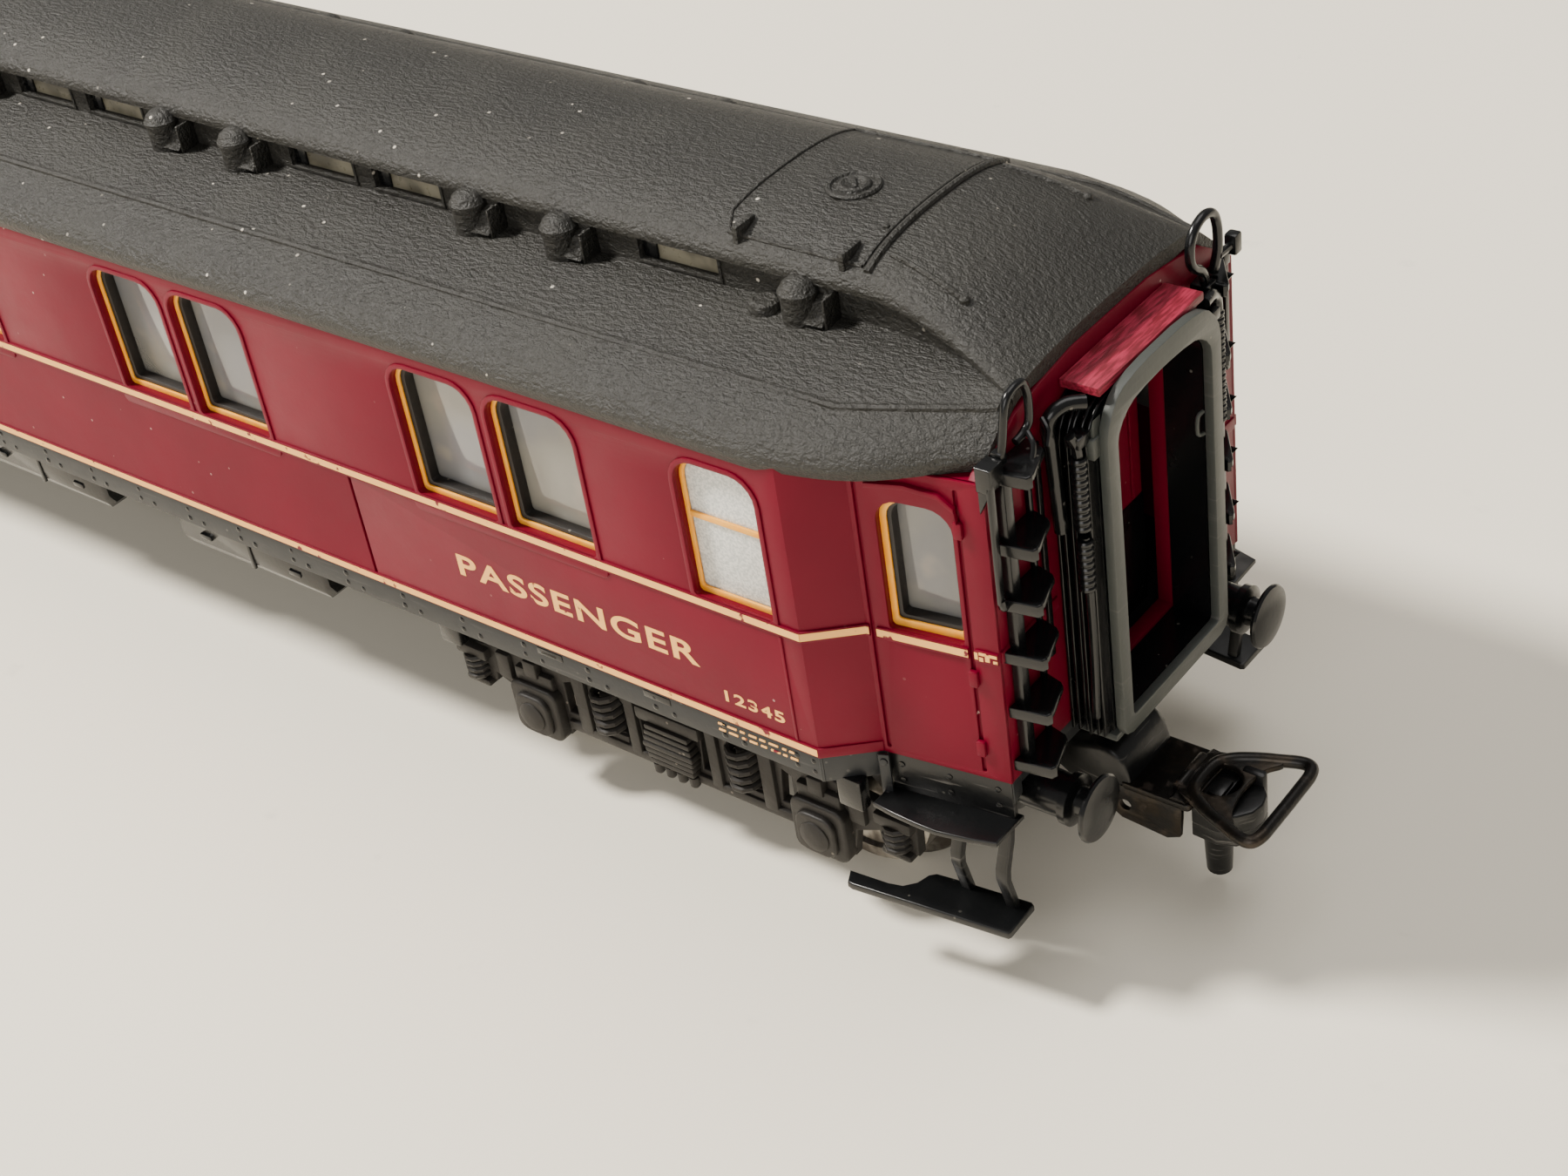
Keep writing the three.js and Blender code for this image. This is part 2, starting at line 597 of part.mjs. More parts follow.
for (const { end, turn } of ENDS) {
  const bogie = new THREE.Group();
  bogie.position.set(turn === 0 ? BOGIE_CENTRE : -BOGIE_CENTRE, 0, 0);
  bogie.rotation.z = turn;
  coach.add(bogie);
  place(bogie, `${end}_bogie_frame`, frameShape, bogieGrey);
  place(bogie, `${end}_pivot_screw`, screwShape, wheelSteel);
  for (const [row, x] of [["outer", WHEELBASE / 2], ["inner", -WHEELBASE / 2]]) {
    const wheelset = new THREE.Group();
    wheelset.position.set(x, 0, AXLE_HEIGHT);
    bogie.add(wheelset);
    place(wheelset, `${end}_${row}_axle`, axleShape, wheelSteel);
    for (const { side, sign } of SIDES) {
      const drawnSign = turn === 0 ? sign : -sign;
      place(wheelset, `${end}_${row}_${side}_wheel`, wheel(drawnSign), wheelSteel);
    }
  }
}

// ---- Couplers --------------------------------------------------------------------------------------------

// Shaft with the pivot ring at the bogie and the raised hood under the gangway.
function couplerShaft() {
  const barEnd = 113.8;
  const bar = runAlongY([
    [COUPLER_PIVOT, 7.0], [barEnd, 6.3], [barEnd, 8.0], [116, 8.15], [116, 9.2], [115, 10.6], [113.4, 11],
    [111.8, 10.4], [110.4, 8.9], [COUPLER_PIVOT, 8.9]], -1.5, 1.5);
  const ringProfile = [[0, 7.0], [1.9, 7.0], [1.9, 8.9], [0, 8.9]];
  const hole = turnedAboutZ([[0, 6], [0.95, 6], [0.95, 10], [0, 10]], 12, COUPLER_PIVOT, 0);
  return geometryOf(cut(join(bar, turnedAboutZ(ringProfile, 12, COUPLER_PIVOT, 0)), hole));
}

// Sheet-metal head: box, hook nose and the uncoupling pin under it.
function couplerHead() {
  const headTop = LOOP_HEIGHT - LOOP_WIRE_RADIUS - GAP;
  const body = slab([
    [114.0, -2.2], [118.6, -2.3], [120.6, -1.6], [121.6, -0.5], [121.6, 0.5], [120.6, 1.6], [118.6, 2.3],
    [114.0, 2.2]], 5.3, headTop);
  const trip = turnedAboutZ([[0, 1.0], [0.55, 1.0], [0.55, 5.5], [0, 5.5]], 8, 118.5, 0);
  const hookSlot = box(119.4, 120.2, -1.0, 3, 6.3, 9);
  const shaftPocket = box(113, 115.4, -1.2, 1.2, 6.0, 7.2);
  return geometryOf(cut(join(body, trip), hookSlot, shaftPocket));
}

// Loop of wire that drops over the next coach's hook; both ends meet at its hinge.
function couplerLoop() {
  const half = [
    [LOOP_PIVOT_X, 0.25], [LOOP_PIVOT_X, 1.7], [LOOP_PIVOT_X + 0.7, 2.35], [LOOP_PIVOT_X + 3.4, 3.2],
    [LOOP_PIVOT_X + 5.6, 3.6], [LOOP_PIVOT_X + 6.4, 2.9]];
  const front = [LOOP_PIVOT_X + 6.5, 0];
  const path = [...half, front, ...half.map(([x, y]) => [x, -y]).reverse()];
  return wire(path.map(([x, y]) => [x, y, LOOP_HEIGHT]), LOOP_WIRE_RADIUS, 24);
}

placeAtEnds("coupler_shaft", couplerShaft(), glossBlack);
placeAtEnds("coupler_head", couplerHead(), burnishedSteel);
placeAtEnds("coupler_loop", couplerLoop(), burnishedSteel);

export default coach;
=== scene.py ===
"""H0 passenger coach: every visible piece is made here, around the packed frame, by an add-on's operators.

Helpers work in millimetres, in the frame's axes: +X is the front end, -Y the right side, +Z up.
Corner fittings are drawn at the front right corner and mirrored to the other three.
"""

import math
from functools import cache

import bmesh
import bpy
from mathutils import Matrix, Vector


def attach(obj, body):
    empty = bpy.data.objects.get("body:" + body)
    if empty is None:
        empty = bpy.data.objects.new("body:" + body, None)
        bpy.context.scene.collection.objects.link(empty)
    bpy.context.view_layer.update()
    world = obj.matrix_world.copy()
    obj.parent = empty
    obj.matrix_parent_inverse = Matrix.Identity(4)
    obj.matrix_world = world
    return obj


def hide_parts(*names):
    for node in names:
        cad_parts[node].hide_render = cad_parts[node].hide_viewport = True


bl_info = {
    "name": "Clerestory Coach",
    "version": (1, 0, 0),
    "blender": (4, 5, 0),
    "location": "3D View > Sidebar > Coach",
    "description": "Builds a model passenger coach with bogies, couplers and end fittings",
    "category": "Add Mesh",
}

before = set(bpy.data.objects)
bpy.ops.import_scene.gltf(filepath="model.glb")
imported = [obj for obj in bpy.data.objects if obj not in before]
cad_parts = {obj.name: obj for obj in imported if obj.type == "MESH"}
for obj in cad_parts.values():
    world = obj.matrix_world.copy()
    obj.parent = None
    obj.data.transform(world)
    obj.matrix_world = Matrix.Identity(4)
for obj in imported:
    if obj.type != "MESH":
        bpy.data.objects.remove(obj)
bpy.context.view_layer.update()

MM = 0.001
SHARP_ANGLE = math.radians(32)

# ---- Places that several pieces share, in millimetres --------------------------------------------

BODY_END = 112.85
DOOR_CORNER = Vector((104.75, -14.25, 0))
SIDE_CORNER = Vector((101.85, -16.65, 0))
END_CORNER = Vector((BODY_END, -13.1, 0))
BODY_BOTTOM = 15.9
BODY_TOP = 36.5
RAIL_BOTTOM, RAIL_TOP = 24.6, 25.4
OPENING_TOP = 35.0
PAIR_CENTRES = [79.15 - 29.1 * i for i in range(6)]
WINDOW_WIDTH = 7.0
SMALL_WINDOW = 97.2
WINDOWS = [(c + s * 4.05, WINDOW_WIDTH) for c in PAIR_CENTRES for s in (-1, 1)]
WINDOWS += [(-84.0, WINDOW_WIDTH), (SMALL_WINDOW, 5.8), (-SMALL_WINDOW, 5.8)]
END_WALL_TOP = [(13.0, 36.4), (11.6, 37.6), (9.6, 38.9), (7.0, 39.4), (4.0, 39.8)]
BOGIE_CENTRE = 86.6
AXLE_OFFSET = 12.0
AXLE_HEIGHT = 6.65
COUPLER_PIVOT = 102.2
LOOP_HEIGHT = 8.35

CORNERS = [("front", "right", 1, 1), ("front", "left", 1, -1),
           ("rear", "right", -1, 1), ("rear", "left", -1, -1)]
ENDS = [("front", 0.0), ("rear", math.pi)]

FACING_RIGHT = Matrix(((1, 0, 0, 0), (0, 0, -1, 0), (0, 1, 0, 0), (0, 0, 0, 1)))
FACING_FRONT = Matrix(((0, 0, 1, 0), (1, 0, 0, 0), (0, 1, 0, 0), (0, 0, 0, 1)))


def at(x, y, z):
    return Matrix.Translation((x, y, z))


def wall_frame(start, end):
    """Plate axes for a wall seen from outside: along it from start to end, up, and outwards."""
    along = (end - start).normalized()
    outwards = along.cross(Vector((0, 0, 1)))
    turned = Matrix((along, (0, 0, 1), outwards)).transposed().to_4x4()
    return at(*start) @ turned


SIDE_WALL = FACING_RIGHT.copy()
SIDE_WALL.translation = (0, SIDE_CORNER.y, 0)
SLANT_WALL = wall_frame(SIDE_CORNER, DOOR_CORNER)
SLANT_LENGTH = (DOOR_CORNER - SIDE_CORNER).length
DOOR_WALL = wall_frame(DOOR_CORNER, END_CORNER)
DOOR_LENGTH = (END_CORNER - DOOR_CORNER).length
END_WALL = FACING_FRONT.copy()
END_WALL.translation = (BODY_END, 0, 0)


# ---- Node trees: fields with arithmetic, for shaders and geometry alike --------------------------

class Field:
    """A socket that takes part in arithmetic."""

    def __init__(self, tree, socket):
        self.tree, self.socket = tree, socket

    def math(self, operation, other, swapped=False):
        pair = (other, self) if swapped else (self, other)
        made = node(self.tree, "ShaderNodeMath", {"operation": operation}, dict(enumerate(pair)))
        return Field(self.tree, made.outputs[0])

    def __add__(self, other):
        return self.math("ADD", other)

    def __sub__(self, other):
        return self.math("SUBTRACT", other)

    def __rsub__(self, other):
        return self.math("SUBTRACT", other, swapped=True)

    def __mul__(self, other):
        return self.math("MULTIPLY", other)

    __radd__ = __add__
    __rmul__ = __mul__


def node(tree, kind, settings=None, sockets=None):
    """A new node with its settings made first, then its sockets given values or links."""
    made = tree.nodes.new(kind)
    for key, value in (settings or {}).items():
        setattr(made, key, value)
    for key, value in (sockets or {}).items():
        if isinstance(value, Field):
            tree.links.new(value.socket, made.inputs[key])
        else:
            made.inputs[key].default_value = value
    return made


def rgb(code):
    """The linear colour of a six-digit display colour."""
    parts = [int(code[i:i + 2], 16) / 255 for i in (0, 2, 4)]
    return (*[c / 12.92 if c <= 0.04045 else ((c + 0.055) / 1.055) ** 2.4 for c in parts], 1.0)


class Surface:
    """A material in the making: one shader, fed by fields of the piece's own coordinates."""

    def __init__(self, name, **constants):
        self.material = bpy.data.materials.new(name)
        self.material.use_nodes = True
        self.tree = self.material.node_tree
        self.tree.nodes.clear()
        self.shader = node(self.tree, "ShaderNodeBsdfPrincipled")
        output = node(self.tree, "ShaderNodeOutputMaterial")
        self.tree.links.new(self.shader.outputs[0], output.inputs["Surface"])
        for label, value in constants.items():
            self.shader.inputs[label.replace("_", " ")].default_value = value
        self.place = self.field("ShaderNodeTexCoord", out="Object")

    def field(self, kind, settings=None, sockets=None, out=0):
        return Field(self.tree, node(self.tree, kind, settings, sockets).outputs[out])

    def scaled(self, size, stretch=(1, 1, 1)):
        factors = [1 / (size * MM * s) for s in stretch]
        return self.field("ShaderNodeVectorMath", {"operation": "MULTIPLY"}, {0: self.place, 1: factors})

    def noise(self, size, detail=2.0, stretch=(1, 1, 1)):
        """Cloudy variation round 0.5, in blobs of about this many millimetres."""
        return self.field("ShaderNodeTexNoise", None, {
            "Vector": self.scaled(size, stretch), "Scale": 1.0, "Detail": detail})

    def cells(self, size, stretch=(1, 1, 1)):
        """Distance from the nearest of scattered points that lie about this far apart."""
        return self.field("ShaderNodeTexVoronoi", None, {
            "Vector": self.scaled(size, stretch), "Scale": 1.0})

    def step(self, value, low, high):
        """0 up to low, 1 from high on, and a smooth step between them."""
        return self.field("ShaderNodeMapRange", {"interpolation_type": "SMOOTHSTEP"}, {
            "Value": value, "From Min": low, "From Max": high})

    def mix(self, factor, first, second):
        return self.field("ShaderNodeMix", {"data_type": "RGBA"}, {0: factor, 6: first, 7: second}, out=2)

    def feed(self, label, value):
        self.tree.links.new(value.socket, self.shader.inputs[label])

    def relief(self, height, depth, strength=1.0):
        """Bumps of this depth in millimetres."""
        self.feed("Normal", self.field("ShaderNodeBump", None, {
            "Height": height, "Distance": depth * MM, "Strength": strength}))

    def dust_and_highlight_flecks(self, spacing, size):
        """1 on small scattered flecks."""
        drift = self.step(self.noise(spacing * 6), 0.45, 0.6)
        return (1 - self.step(self.cells(spacing), size, size * 1.6)) * drift


# ---- Materials -----------------------------------------------------------------------------------

@cache
def colours():
    return bpy.context.scene.coach_colours


@cache
def sizes():
    return bpy.context.scene.coach_sizes


@cache
def wine_paint():
    """Satin wine red enamel over plastic: slight unevenness, a few pale flecks."""
    s = Surface("wine_paint", Coat_Weight=0.03, Coat_Roughness=0.25, Specular_IOR_Level=0.14)
    cloud = s.noise(9, 3)
    base = tuple(colours().body)
    shade = s.mix(s.step(cloud, 0.3, 0.7), tuple(c * 0.86 for c in base[:3]) + (1,), base)
    flecks = s.dust_and_highlight_flecks(1.7, 0.045)
    s.feed("Base Color", s.mix(flecks * 0.75, shade, rgb("c9a9a0")))
    s.feed("Roughness", 0.36 + s.noise(2.2, 4) * 0.14 + flecks * 0.2)
    s.relief(s.noise(0.35, 3), 0.012, 0.5)
    return s.material


@cache
def cream_print():
    """Tampo-printed cream, thin and chipped where fingers reach it."""
    s = Surface("cream_print", Specular_IOR_Level=0.35)
    worn = s.step(s.noise(0.9, 3), 0.3, 0.36)
    s.feed("Base Color", s.mix(worn, tuple(colours().body), tuple(colours().lines)))
    s.feed("Roughness", 0.5 + s.noise(0.5) * 0.15)
    s.relief(s.noise(0.12, 2), 0.01, 0.5)
    return s.material


@cache
def yellow_paint():
    """Brass-yellow window frame paint, paler where it is thin."""
    s = Surface("yellow_paint", Specular_IOR_Level=0.5)
    thin = s.step(s.noise(1.1, 3), 0.42, 0.62)
    s.feed("Base Color", s.mix(thin * 0.55, tuple(colours().frames), rgb("f4b347")))
    s.feed("Roughness", 0.34 + s.noise(0.6) * 0.2)
    s.relief(s.noise(0.2, 2), 0.015, 0.6)
    return s.material


@cache
def roof_grain():
    """Dark grey roof with a crinkled leather grain, flecked with dust."""
    s = Surface("roof_grain", Specular_IOR_Level=0.42)
    base = tuple(colours().roof)
    crinkle = s.noise(0.3, 4, (1.6, 0.9, 0.9))
    fine = s.noise(0.12, 3)
    # pale flecks painted in as highlights catching the light on the grain
    flecks = s.dust_and_highlight_flecks(1.9, 0.05)
    worn = s.step(s.noise(7, 4), 0.35, 0.7)
    shade = s.mix(worn, tuple(c * 0.82 for c in base[:3]) + (1,), tuple(c * 1.12 for c in base[:3]) + (1,))
    s.feed("Base Color", s.mix(flecks * 0.85, shade, rgb("cfc8ba")))
    s.feed("Roughness", 0.34 + crinkle * 0.18 + worn * 0.1)
    s.relief(crinkle * 0.8 + fine * 0.35, sizes().grain_depth / MM, 1.0)
    return s.material


def moulded(name, base, roughness, flecked, scratched=0.0, speckle="8f8b82"):
    """Dark moulded plastic with dust flecks and light scuffs along it."""
    s = Surface(name, Specular_IOR_Level=0.4)
    scratches = s.step(s.noise(0.28, 3, (14, 14, 1)), 0.6, 0.72) * scratched
    flecks = s.dust_and_highlight_flecks(1.3, 0.06) * flecked
    pale = s.mix(scratches, base, rgb("6d6a66"))
    s.feed("Base Color", s.mix(flecks, pale, rgb(speckle)))
    s.feed("Roughness", roughness + s.noise(1.5, 3) * 0.16 + scratches * 0.25 + flecks * 0.3)
    s.relief(s.noise(0.3, 3), 0.02, 0.5)
    return s.material


@cache
def chassis_grey():
    return moulded("chassis_grey", tuple(colours().chassis), 0.36, 0.35, 0.15)


@cache
def gloss_black():
    return moulded("gloss_black", tuple(colours().fittings), 0.16, 0.3)


@cache
def scuffed_black():
    return moulded("scuffed_black", tuple(colours().fittings), 0.24, 0.5, 0.45)


@cache
def gangway_grey():
    return moulded("gangway_grey", rgb("3c3f3c"), 0.34, 0.4, 0.2)


@cache
def bogie_dust():
    """Matte brown-grey moulding with grime in broad patches."""
    s = Surface("bogie_dust", Specular_IOR_Level=0.35)
    base = tuple(colours().bogies)
    grime = s.step(s.noise(3.5, 4), 0.35, 0.65)
    shade = s.mix(grime, tuple(c * 0.65 for c in base[:3]) + (1,), base)
    flecks = s.dust_and_highlight_flecks(1.1, 0.07)
    s.feed("Base Color", s.mix(flecks * 0.4, shade, rgb("8f867a")))
    s.feed("Roughness", 0.5 + grime * 0.15)
    s.relief(s.noise(0.45, 4), 0.05, 0.7)
    return s.material


@cache
def wheel_steel():
    """Blackened steel wheels, with rings from turning and rubbed treads."""
    s = Surface("wheel_steel", Metallic=1.0)
    grime = s.step(s.noise(2.0, 4), 0.4, 0.65)
    s.feed("Base Color", s.mix(grime, rgb("8a8680"), rgb("4f4a45")))
    s.feed("Roughness", 0.28 + grime * 0.25)
    s.relief(s.noise(0.5, 3), 0.02, 0.4)
    return s.material


@cache
def coupler_metal():
    """Chemically blackened coupler metal, brown and bare where it rubs."""
    s = Surface("coupler_metal", Specular_IOR_Level=0.5)
    rubbed = s.step(s.noise(1.8, 4), 0.46, 0.66)
    rust = s.step(s.noise(0.9, 4), 0.56, 0.7)
    bare = s.mix(rubbed, rgb("1c1a18"), rgb("3b352e"))
    s.feed("Base Color", s.mix(rust * 0.4, bare, rgb("3a2c22")))
    s.feed("Metallic", 0.55 + rubbed * 0.35 - rust * 0.4)
    s.feed("Roughness", 0.34 + rust * 0.3)
    s.relief(s.noise(0.3, 4), 0.03, 0.6)
    return s.material


@cache
def window_pane():
    """Clear glazing over a grey print, with a faint rainbow of moulding stress."""
    s = Surface("window_pane", Roughness=0.08, Coat_Weight=0.4, Coat_Roughness=0.03)
    haze = s.noise(4.5, 1, (1, 1, 1.6))
    stress = s.mix(s.step(haze, 0.35, 0.65), rgb("8e8b82"), rgb("7c7c7d"))
    s.feed("Base Color", s.mix(s.step(s.noise(3.1, 2), 0.55, 0.75) * 0.5, stress, rgb("a59a8d")))
    s.feed("Alpha", 0.74 + haze * 0.12)
    return s.material


@cache
def frosted_pane():
    """Sand-textured washroom glass."""
    s = Surface("frosted_pane", Coat_Weight=0.15)
    grit = s.noise(0.16, 3)
    s.feed("Base Color", s.mix(s.step(grit, 0.35, 0.65), rgb("b9bcb8"), rgb("dcdcd6")))
    s.feed("Roughness", 0.42 + grit * 0.2)
    s.relief(grit, 0.04, 0.8)
    return s.material


@cache
def pane_edge():
    return moulded("pane_edge", rgb("1d1a18"), 0.4, 0.6)


@cache
def board_red():
    """Dry-brushed red board with streaks across the coach."""
    s = Surface("board_red", Specular_IOR_Level=0.4)
    streaks = s.noise(0.2, 3, (1, 7, 1))
    s.feed("Base Color", s.mix(s.step(streaks, 0.35, 0.68), rgb("62081a"), rgb("94203a")))
    s.feed("Roughness", 0.42 + streaks * 0.25)
    s.relief(streaks, 0.06, 0.9)
    return s.material


@cache
def compartment_tan():
    s = Surface("compartment_tan", Roughness=0.7)
    s.feed("Base Color", s.mix(s.noise(6, 3), rgb("6e5a45"), rgb("9a8468")))
    s.relief(s.noise(0.5, 2), 0.02, 0.5)
    return s.material


@cache
def ballast_steel():
    s = Surface("ballast_steel", Metallic=1.0)
    s.feed("Base Color", s.mix(s.noise(5, 3), rgb("7d7f82"), rgb("a0a2a4")))
    s.feed("Roughness", 0.35 + s.noise(1.2, 3, (10, 1, 1)) * 0.2)
    return s.material


@cache
def paper_floor():
    """Warm white table paper, very slightly marked."""
    s = Surface("paper_floor", Specular_IOR_Level=0.2, Roughness=0.75)
    marks = s.step(s.noise(7, 5), 0.62, 0.75) * s.step(s.noise(2.2, 3), 0.55, 0.7)
    s.feed("Base Color", s.mix(marks * 0.25, rgb("f0e9d8"), rgb("c2bbab")))
    s.relief(s.noise(1.2, 4), 0.03, 0.4)
    return s.material


# ---- Mesh helpers, all in millimetres ------------------------------------------------------------

def moved(bm, matrix):
    """The same mesh under a matrix, its faces still outwards if the matrix mirrors."""
    bmesh.ops.transform(bm, matrix=matrix, verts=bm.verts)
    if matrix.determinant() < 0:
        bmesh.ops.reverse_faces(bm, faces=bm.faces)
    return bm


def placed(bm, end_sign, side_sign):
    """A front right piece put at another corner."""
    return moved(bm, Matrix.Diagonal((end_sign, side_sign, 1, 1)))


def merged(parts):
    whole = bmesh.new()
    for part in parts:
        scratch = bpy.data.meshes.new("scratch")
        part.to_mesh(scratch)
        part.free()
        whole.from_mesh(scratch)
        bpy.data.meshes.remove(scratch)
    return whole


def bar(low, high, bevel=0.08, rounds=2):
    """A block between two corners, its edges rounded."""
    bm = bmesh.new()
    bmesh.ops.create_cube(bm, size=1)
    low, high = Vector(low), Vector(high)
    bmesh.ops.scale(bm, vec=high - low, verts=bm.verts)
    bmesh.ops.translate(bm, vec=(low + high) / 2, verts=bm.verts)
    if bevel:
        bmesh.ops.bevel(bm, geom=bm.edges, offset=bevel, segments=rounds, profile=0.5, affect="EDGES")
    return bm


def plate(outlines, low, high, bevel=0.0, rounds=1):
    """A plate from flat outlines, inner ones being holes, from low to high across its thickness."""
    curve = bpy.data.curves.new("outline", "CURVE")
    curve.dimensions, curve.fill_mode = "2D", "BOTH"
    curve.extrude = (high - low) / 2 - bevel
    curve.bevel_depth, curve.bevel_resolution, curve.offset = bevel, rounds, -bevel
    for outline in outlines:
        spline = curve.splines.new("POLY")
        spline.points.add(len(outline) - 1)
        for point, (a, b) in zip(spline.points, outline):
            point.co = (a, b, 0, 1)
        spline.use_cyclic_u = True
    holder = bpy.data.objects.new("outline", curve)
    flat = bpy.data.meshes.new_from_object(holder)
    bm = bmesh.new()
    bm.from_mesh(flat)
    bpy.data.objects.remove(holder)
    bpy.data.curves.remove(curve)
    bpy.data.meshes.remove(flat)
    bmesh.ops.remove_doubles(bm, verts=bm.verts, dist=1e-4)
    bmesh.ops.recalc_face_normals(bm, faces=bm.faces)
    bmesh.ops.translate(bm, vec=(0, 0, (low + high) / 2), verts=bm.verts)
    return bm


def rounded(a0, b0, a1, b1, radii, steps=5):
    """A rectangle's outline with rounded corners, their radii given anticlockwise from the lower left."""
    outline = []
    radii = [radii] * 4 if isinstance(radii, (int, float)) else radii
    corners = [(a0, b0, 1, 1, 180), (a1, b0, -1, 1, 270), (a1, b1, -1, -1, 0), (a0, b1, 1, -1, 90)]
    for (a, b, towards_a, towards_b, start), radius in zip(corners, radii):
        for i in range(steps + 1):
            angle = math.radians(start + 90 * i / steps)
            outline.append((a + towards_a * radius + radius * math.cos(angle),
                            b + towards_b * radius + radius * math.sin(angle)))
    return outline


def disc_outline(a, b, radius, steps=24):
    turns = [2 * math.pi * i / steps for i in range(steps)]
    return [(a + radius * math.cos(t), b + radius * math.sin(t)) for t in turns]


def both_halves(half):
    """A symmetric outline from its half with a > 0, given upwards."""
    return half + [(-a, b) for a, b in reversed(half) if a > 1e-9]


def lathe(profile, segments=28):
    """A turned piece about +Z from (radius, height) points that start and end on the axis."""
    bm = bmesh.new()
    rings = []
    for radius, height in profile:
        count = segments if radius > 1e-6 else 1
        turns = [2 * math.pi * i / segments for i in range(count)]
        rings.append([bm.verts.new((radius * math.cos(t), radius * math.sin(t), height)) for t in turns])
    for low, high in zip(rings, rings[1:]):
        for i in range(segments):
            around = [low[i % len(low)], low[(i + 1) % segments % len(low)],
                      high[(i + 1) % segments % len(high)], high[i % len(high)]]
            corners = list(dict.fromkeys(around))
            if len(corners) > 2:
                bm.faces.new(corners)
    bmesh.ops.recalc_face_normals(bm, faces=bm.faces)
    return bm


def loft(rings):
    """A closed skin through rings of points, capped at both ends."""
    bm = bmesh.new()
    loops = [[bm.verts.new(p) for p in ring] for ring in rings]
    count = len(loops[0])
    for low, high in zip(loops, loops[1:]):
        for i in range(count):
            j = (i + 1) % count
            bm.faces.new((low[i], low[j], high[j], high[i]))
    bm.faces.new(loops[0][::-1])
    bm.faces.new(loops[-1])
    bmesh.ops.recalc_face_normals(bm, faces=bm.faces)
    return bm


def smooth_path(points, steps=6, closed=False):
    """Points along a smooth curve through the given ones."""
    knots = [Vector(p) for p in points]
    count = len(knots)
    path = []
    for i in range(count if closed else count - 1):
        picks = [(i + k) % count if closed else min(max(i + k, 0), count - 1) for k in (-1, 0, 1, 2)]
        a, b, c, d = (knots[k] for k in picks)
        for s in range(steps):
            t = s / steps
            path.append(0.5 * (2 * b + (c - a) * t + (2 * a - 5 * b + 4 * c - d) * t ** 2
                               + (3 * b - a - 3 * c + d) * t ** 3))
    return path if closed else path + [knots[-1]]


def value_at(table, x):
    """The smooth height of a table of (x, value) at x."""
    path = smooth_path([(a, b, 0) for a, b in table], 8)
    for low, high in zip(path, path[1:]):
        if x <= high.x:
            return low.y + (high.y - low.y) * max(0.0, (x - low.x) / (high.x - low.x))
    return path[-1].y


def lettering(words, width, height, depth=0.03):
    """Raised sans letters, their lower left corner at the origin, squeezed to width and height."""
    text = bpy.data.curves.new("words", "FONT")
    text.body, text.extrude, text.space_character = words, depth / 2, 1.12
    text.offset = 0.02
    holder = bpy.data.objects.new("words", text)
    flat = bpy.data.meshes.new_from_object(holder)
    bm = bmesh.new()
    bm.from_mesh(flat)
    bpy.data.objects.remove(holder)
    bpy.data.curves.remove(text)
    bpy.data.meshes.remove(flat)
    bmesh.ops.remove_doubles(bm, verts=bm.verts, dist=1e-5)
    lows = [min(v.co[k] for v in bm.verts) for k in range(2)]
    highs = [max(v.co[k] for v in bm.verts) for k in range(2)]
    scale = Matrix.Diagonal((width / (highs[0] - lows[0]), height / (highs[1] - lows[1]), 1, 1))
    return moved(moved(bm, at(-lows[0], -lows[1], 0)), scale)


# ---- Geometry Nodes trees ------------------------------------------------------------------------

def new_tree(name, inputs):
    tree = bpy.data.node_groups.new(name, "GeometryNodeTree")
    tree.interface.new_socket("Geometry", in_out="INPUT", socket_type="NodeSocketGeometry")
    for label, kind in inputs:
        tree.interface.new_socket(label, in_out="INPUT", socket_type="NodeSocket" + kind)
    tree.interface.new_socket("Geometry", in_out="OUTPUT", socket_type="NodeSocketGeometry")
    source = node(tree, "NodeGroupInput")
    return tree, {s.name: Field(tree, s) for s in source.outputs if s.name}


def finished(tree, geometry, finish):
    """Ends a tree: real geometry, with its material."""
    real = node(tree, "GeometryNodeRealizeInstances", None, {0: geometry})
    coated = node(tree, "GeometryNodeSetMaterial", None, {
        "Geometry": Field(tree, real.outputs[0]), "Material": finish})
    output = node(tree, "NodeGroupOutput")
    tree.links.new(coated.outputs[0], output.inputs[0])
    return tree


@cache
def scatter_tree():
    """Copies of a piece on the given points, their sizes varied a little."""
    tree, given = new_tree("CopiesOnPoints", [
        ("Piece", "Object"), ("Finish", "Material"), ("Size Variation", "Float"), ("Seed", "Int")])
    piece_in = node(tree, "GeometryNodeObjectInfo", None, {"Object": given["Piece"]})
    size = node(tree, "FunctionNodeRandomValue", {"data_type": "FLOAT"}, {
        2: 1 - given["Size Variation"], 3: 1 + given["Size Variation"], 8: given["Seed"]})
    copies = node(tree, "GeometryNodeInstanceOnPoints", None, {
        "Points": given["Geometry"], "Instance": Field(tree, piece_in.outputs["Geometry"]),
        "Scale": Field(tree, size.outputs[1])})
    return finished(tree, Field(tree, copies.outputs[0]), given["Finish"])


@cache
def wire_tree():
    """Round wire along the given edges, its ends capped."""
    tree, given = new_tree("RoundWire", [("Radius", "Float"), ("Sides", "Int"), ("Finish", "Material")])
    path = node(tree, "GeometryNodeMeshToCurve", None, {"Mesh": given["Geometry"]})
    ring = node(tree, "GeometryNodeCurvePrimitiveCircle", {"mode": "RADIUS"}, {
        "Resolution": given["Sides"], "Radius": given["Radius"]})
    wire = node(tree, "GeometryNodeCurveToMesh", None, {
        "Curve": Field(tree, path.outputs[0]), "Profile Curve": Field(tree, ring.outputs[0]),
        "Fill Caps": True})
    return finished(tree, Field(tree, wire.outputs[0]), given["Finish"])


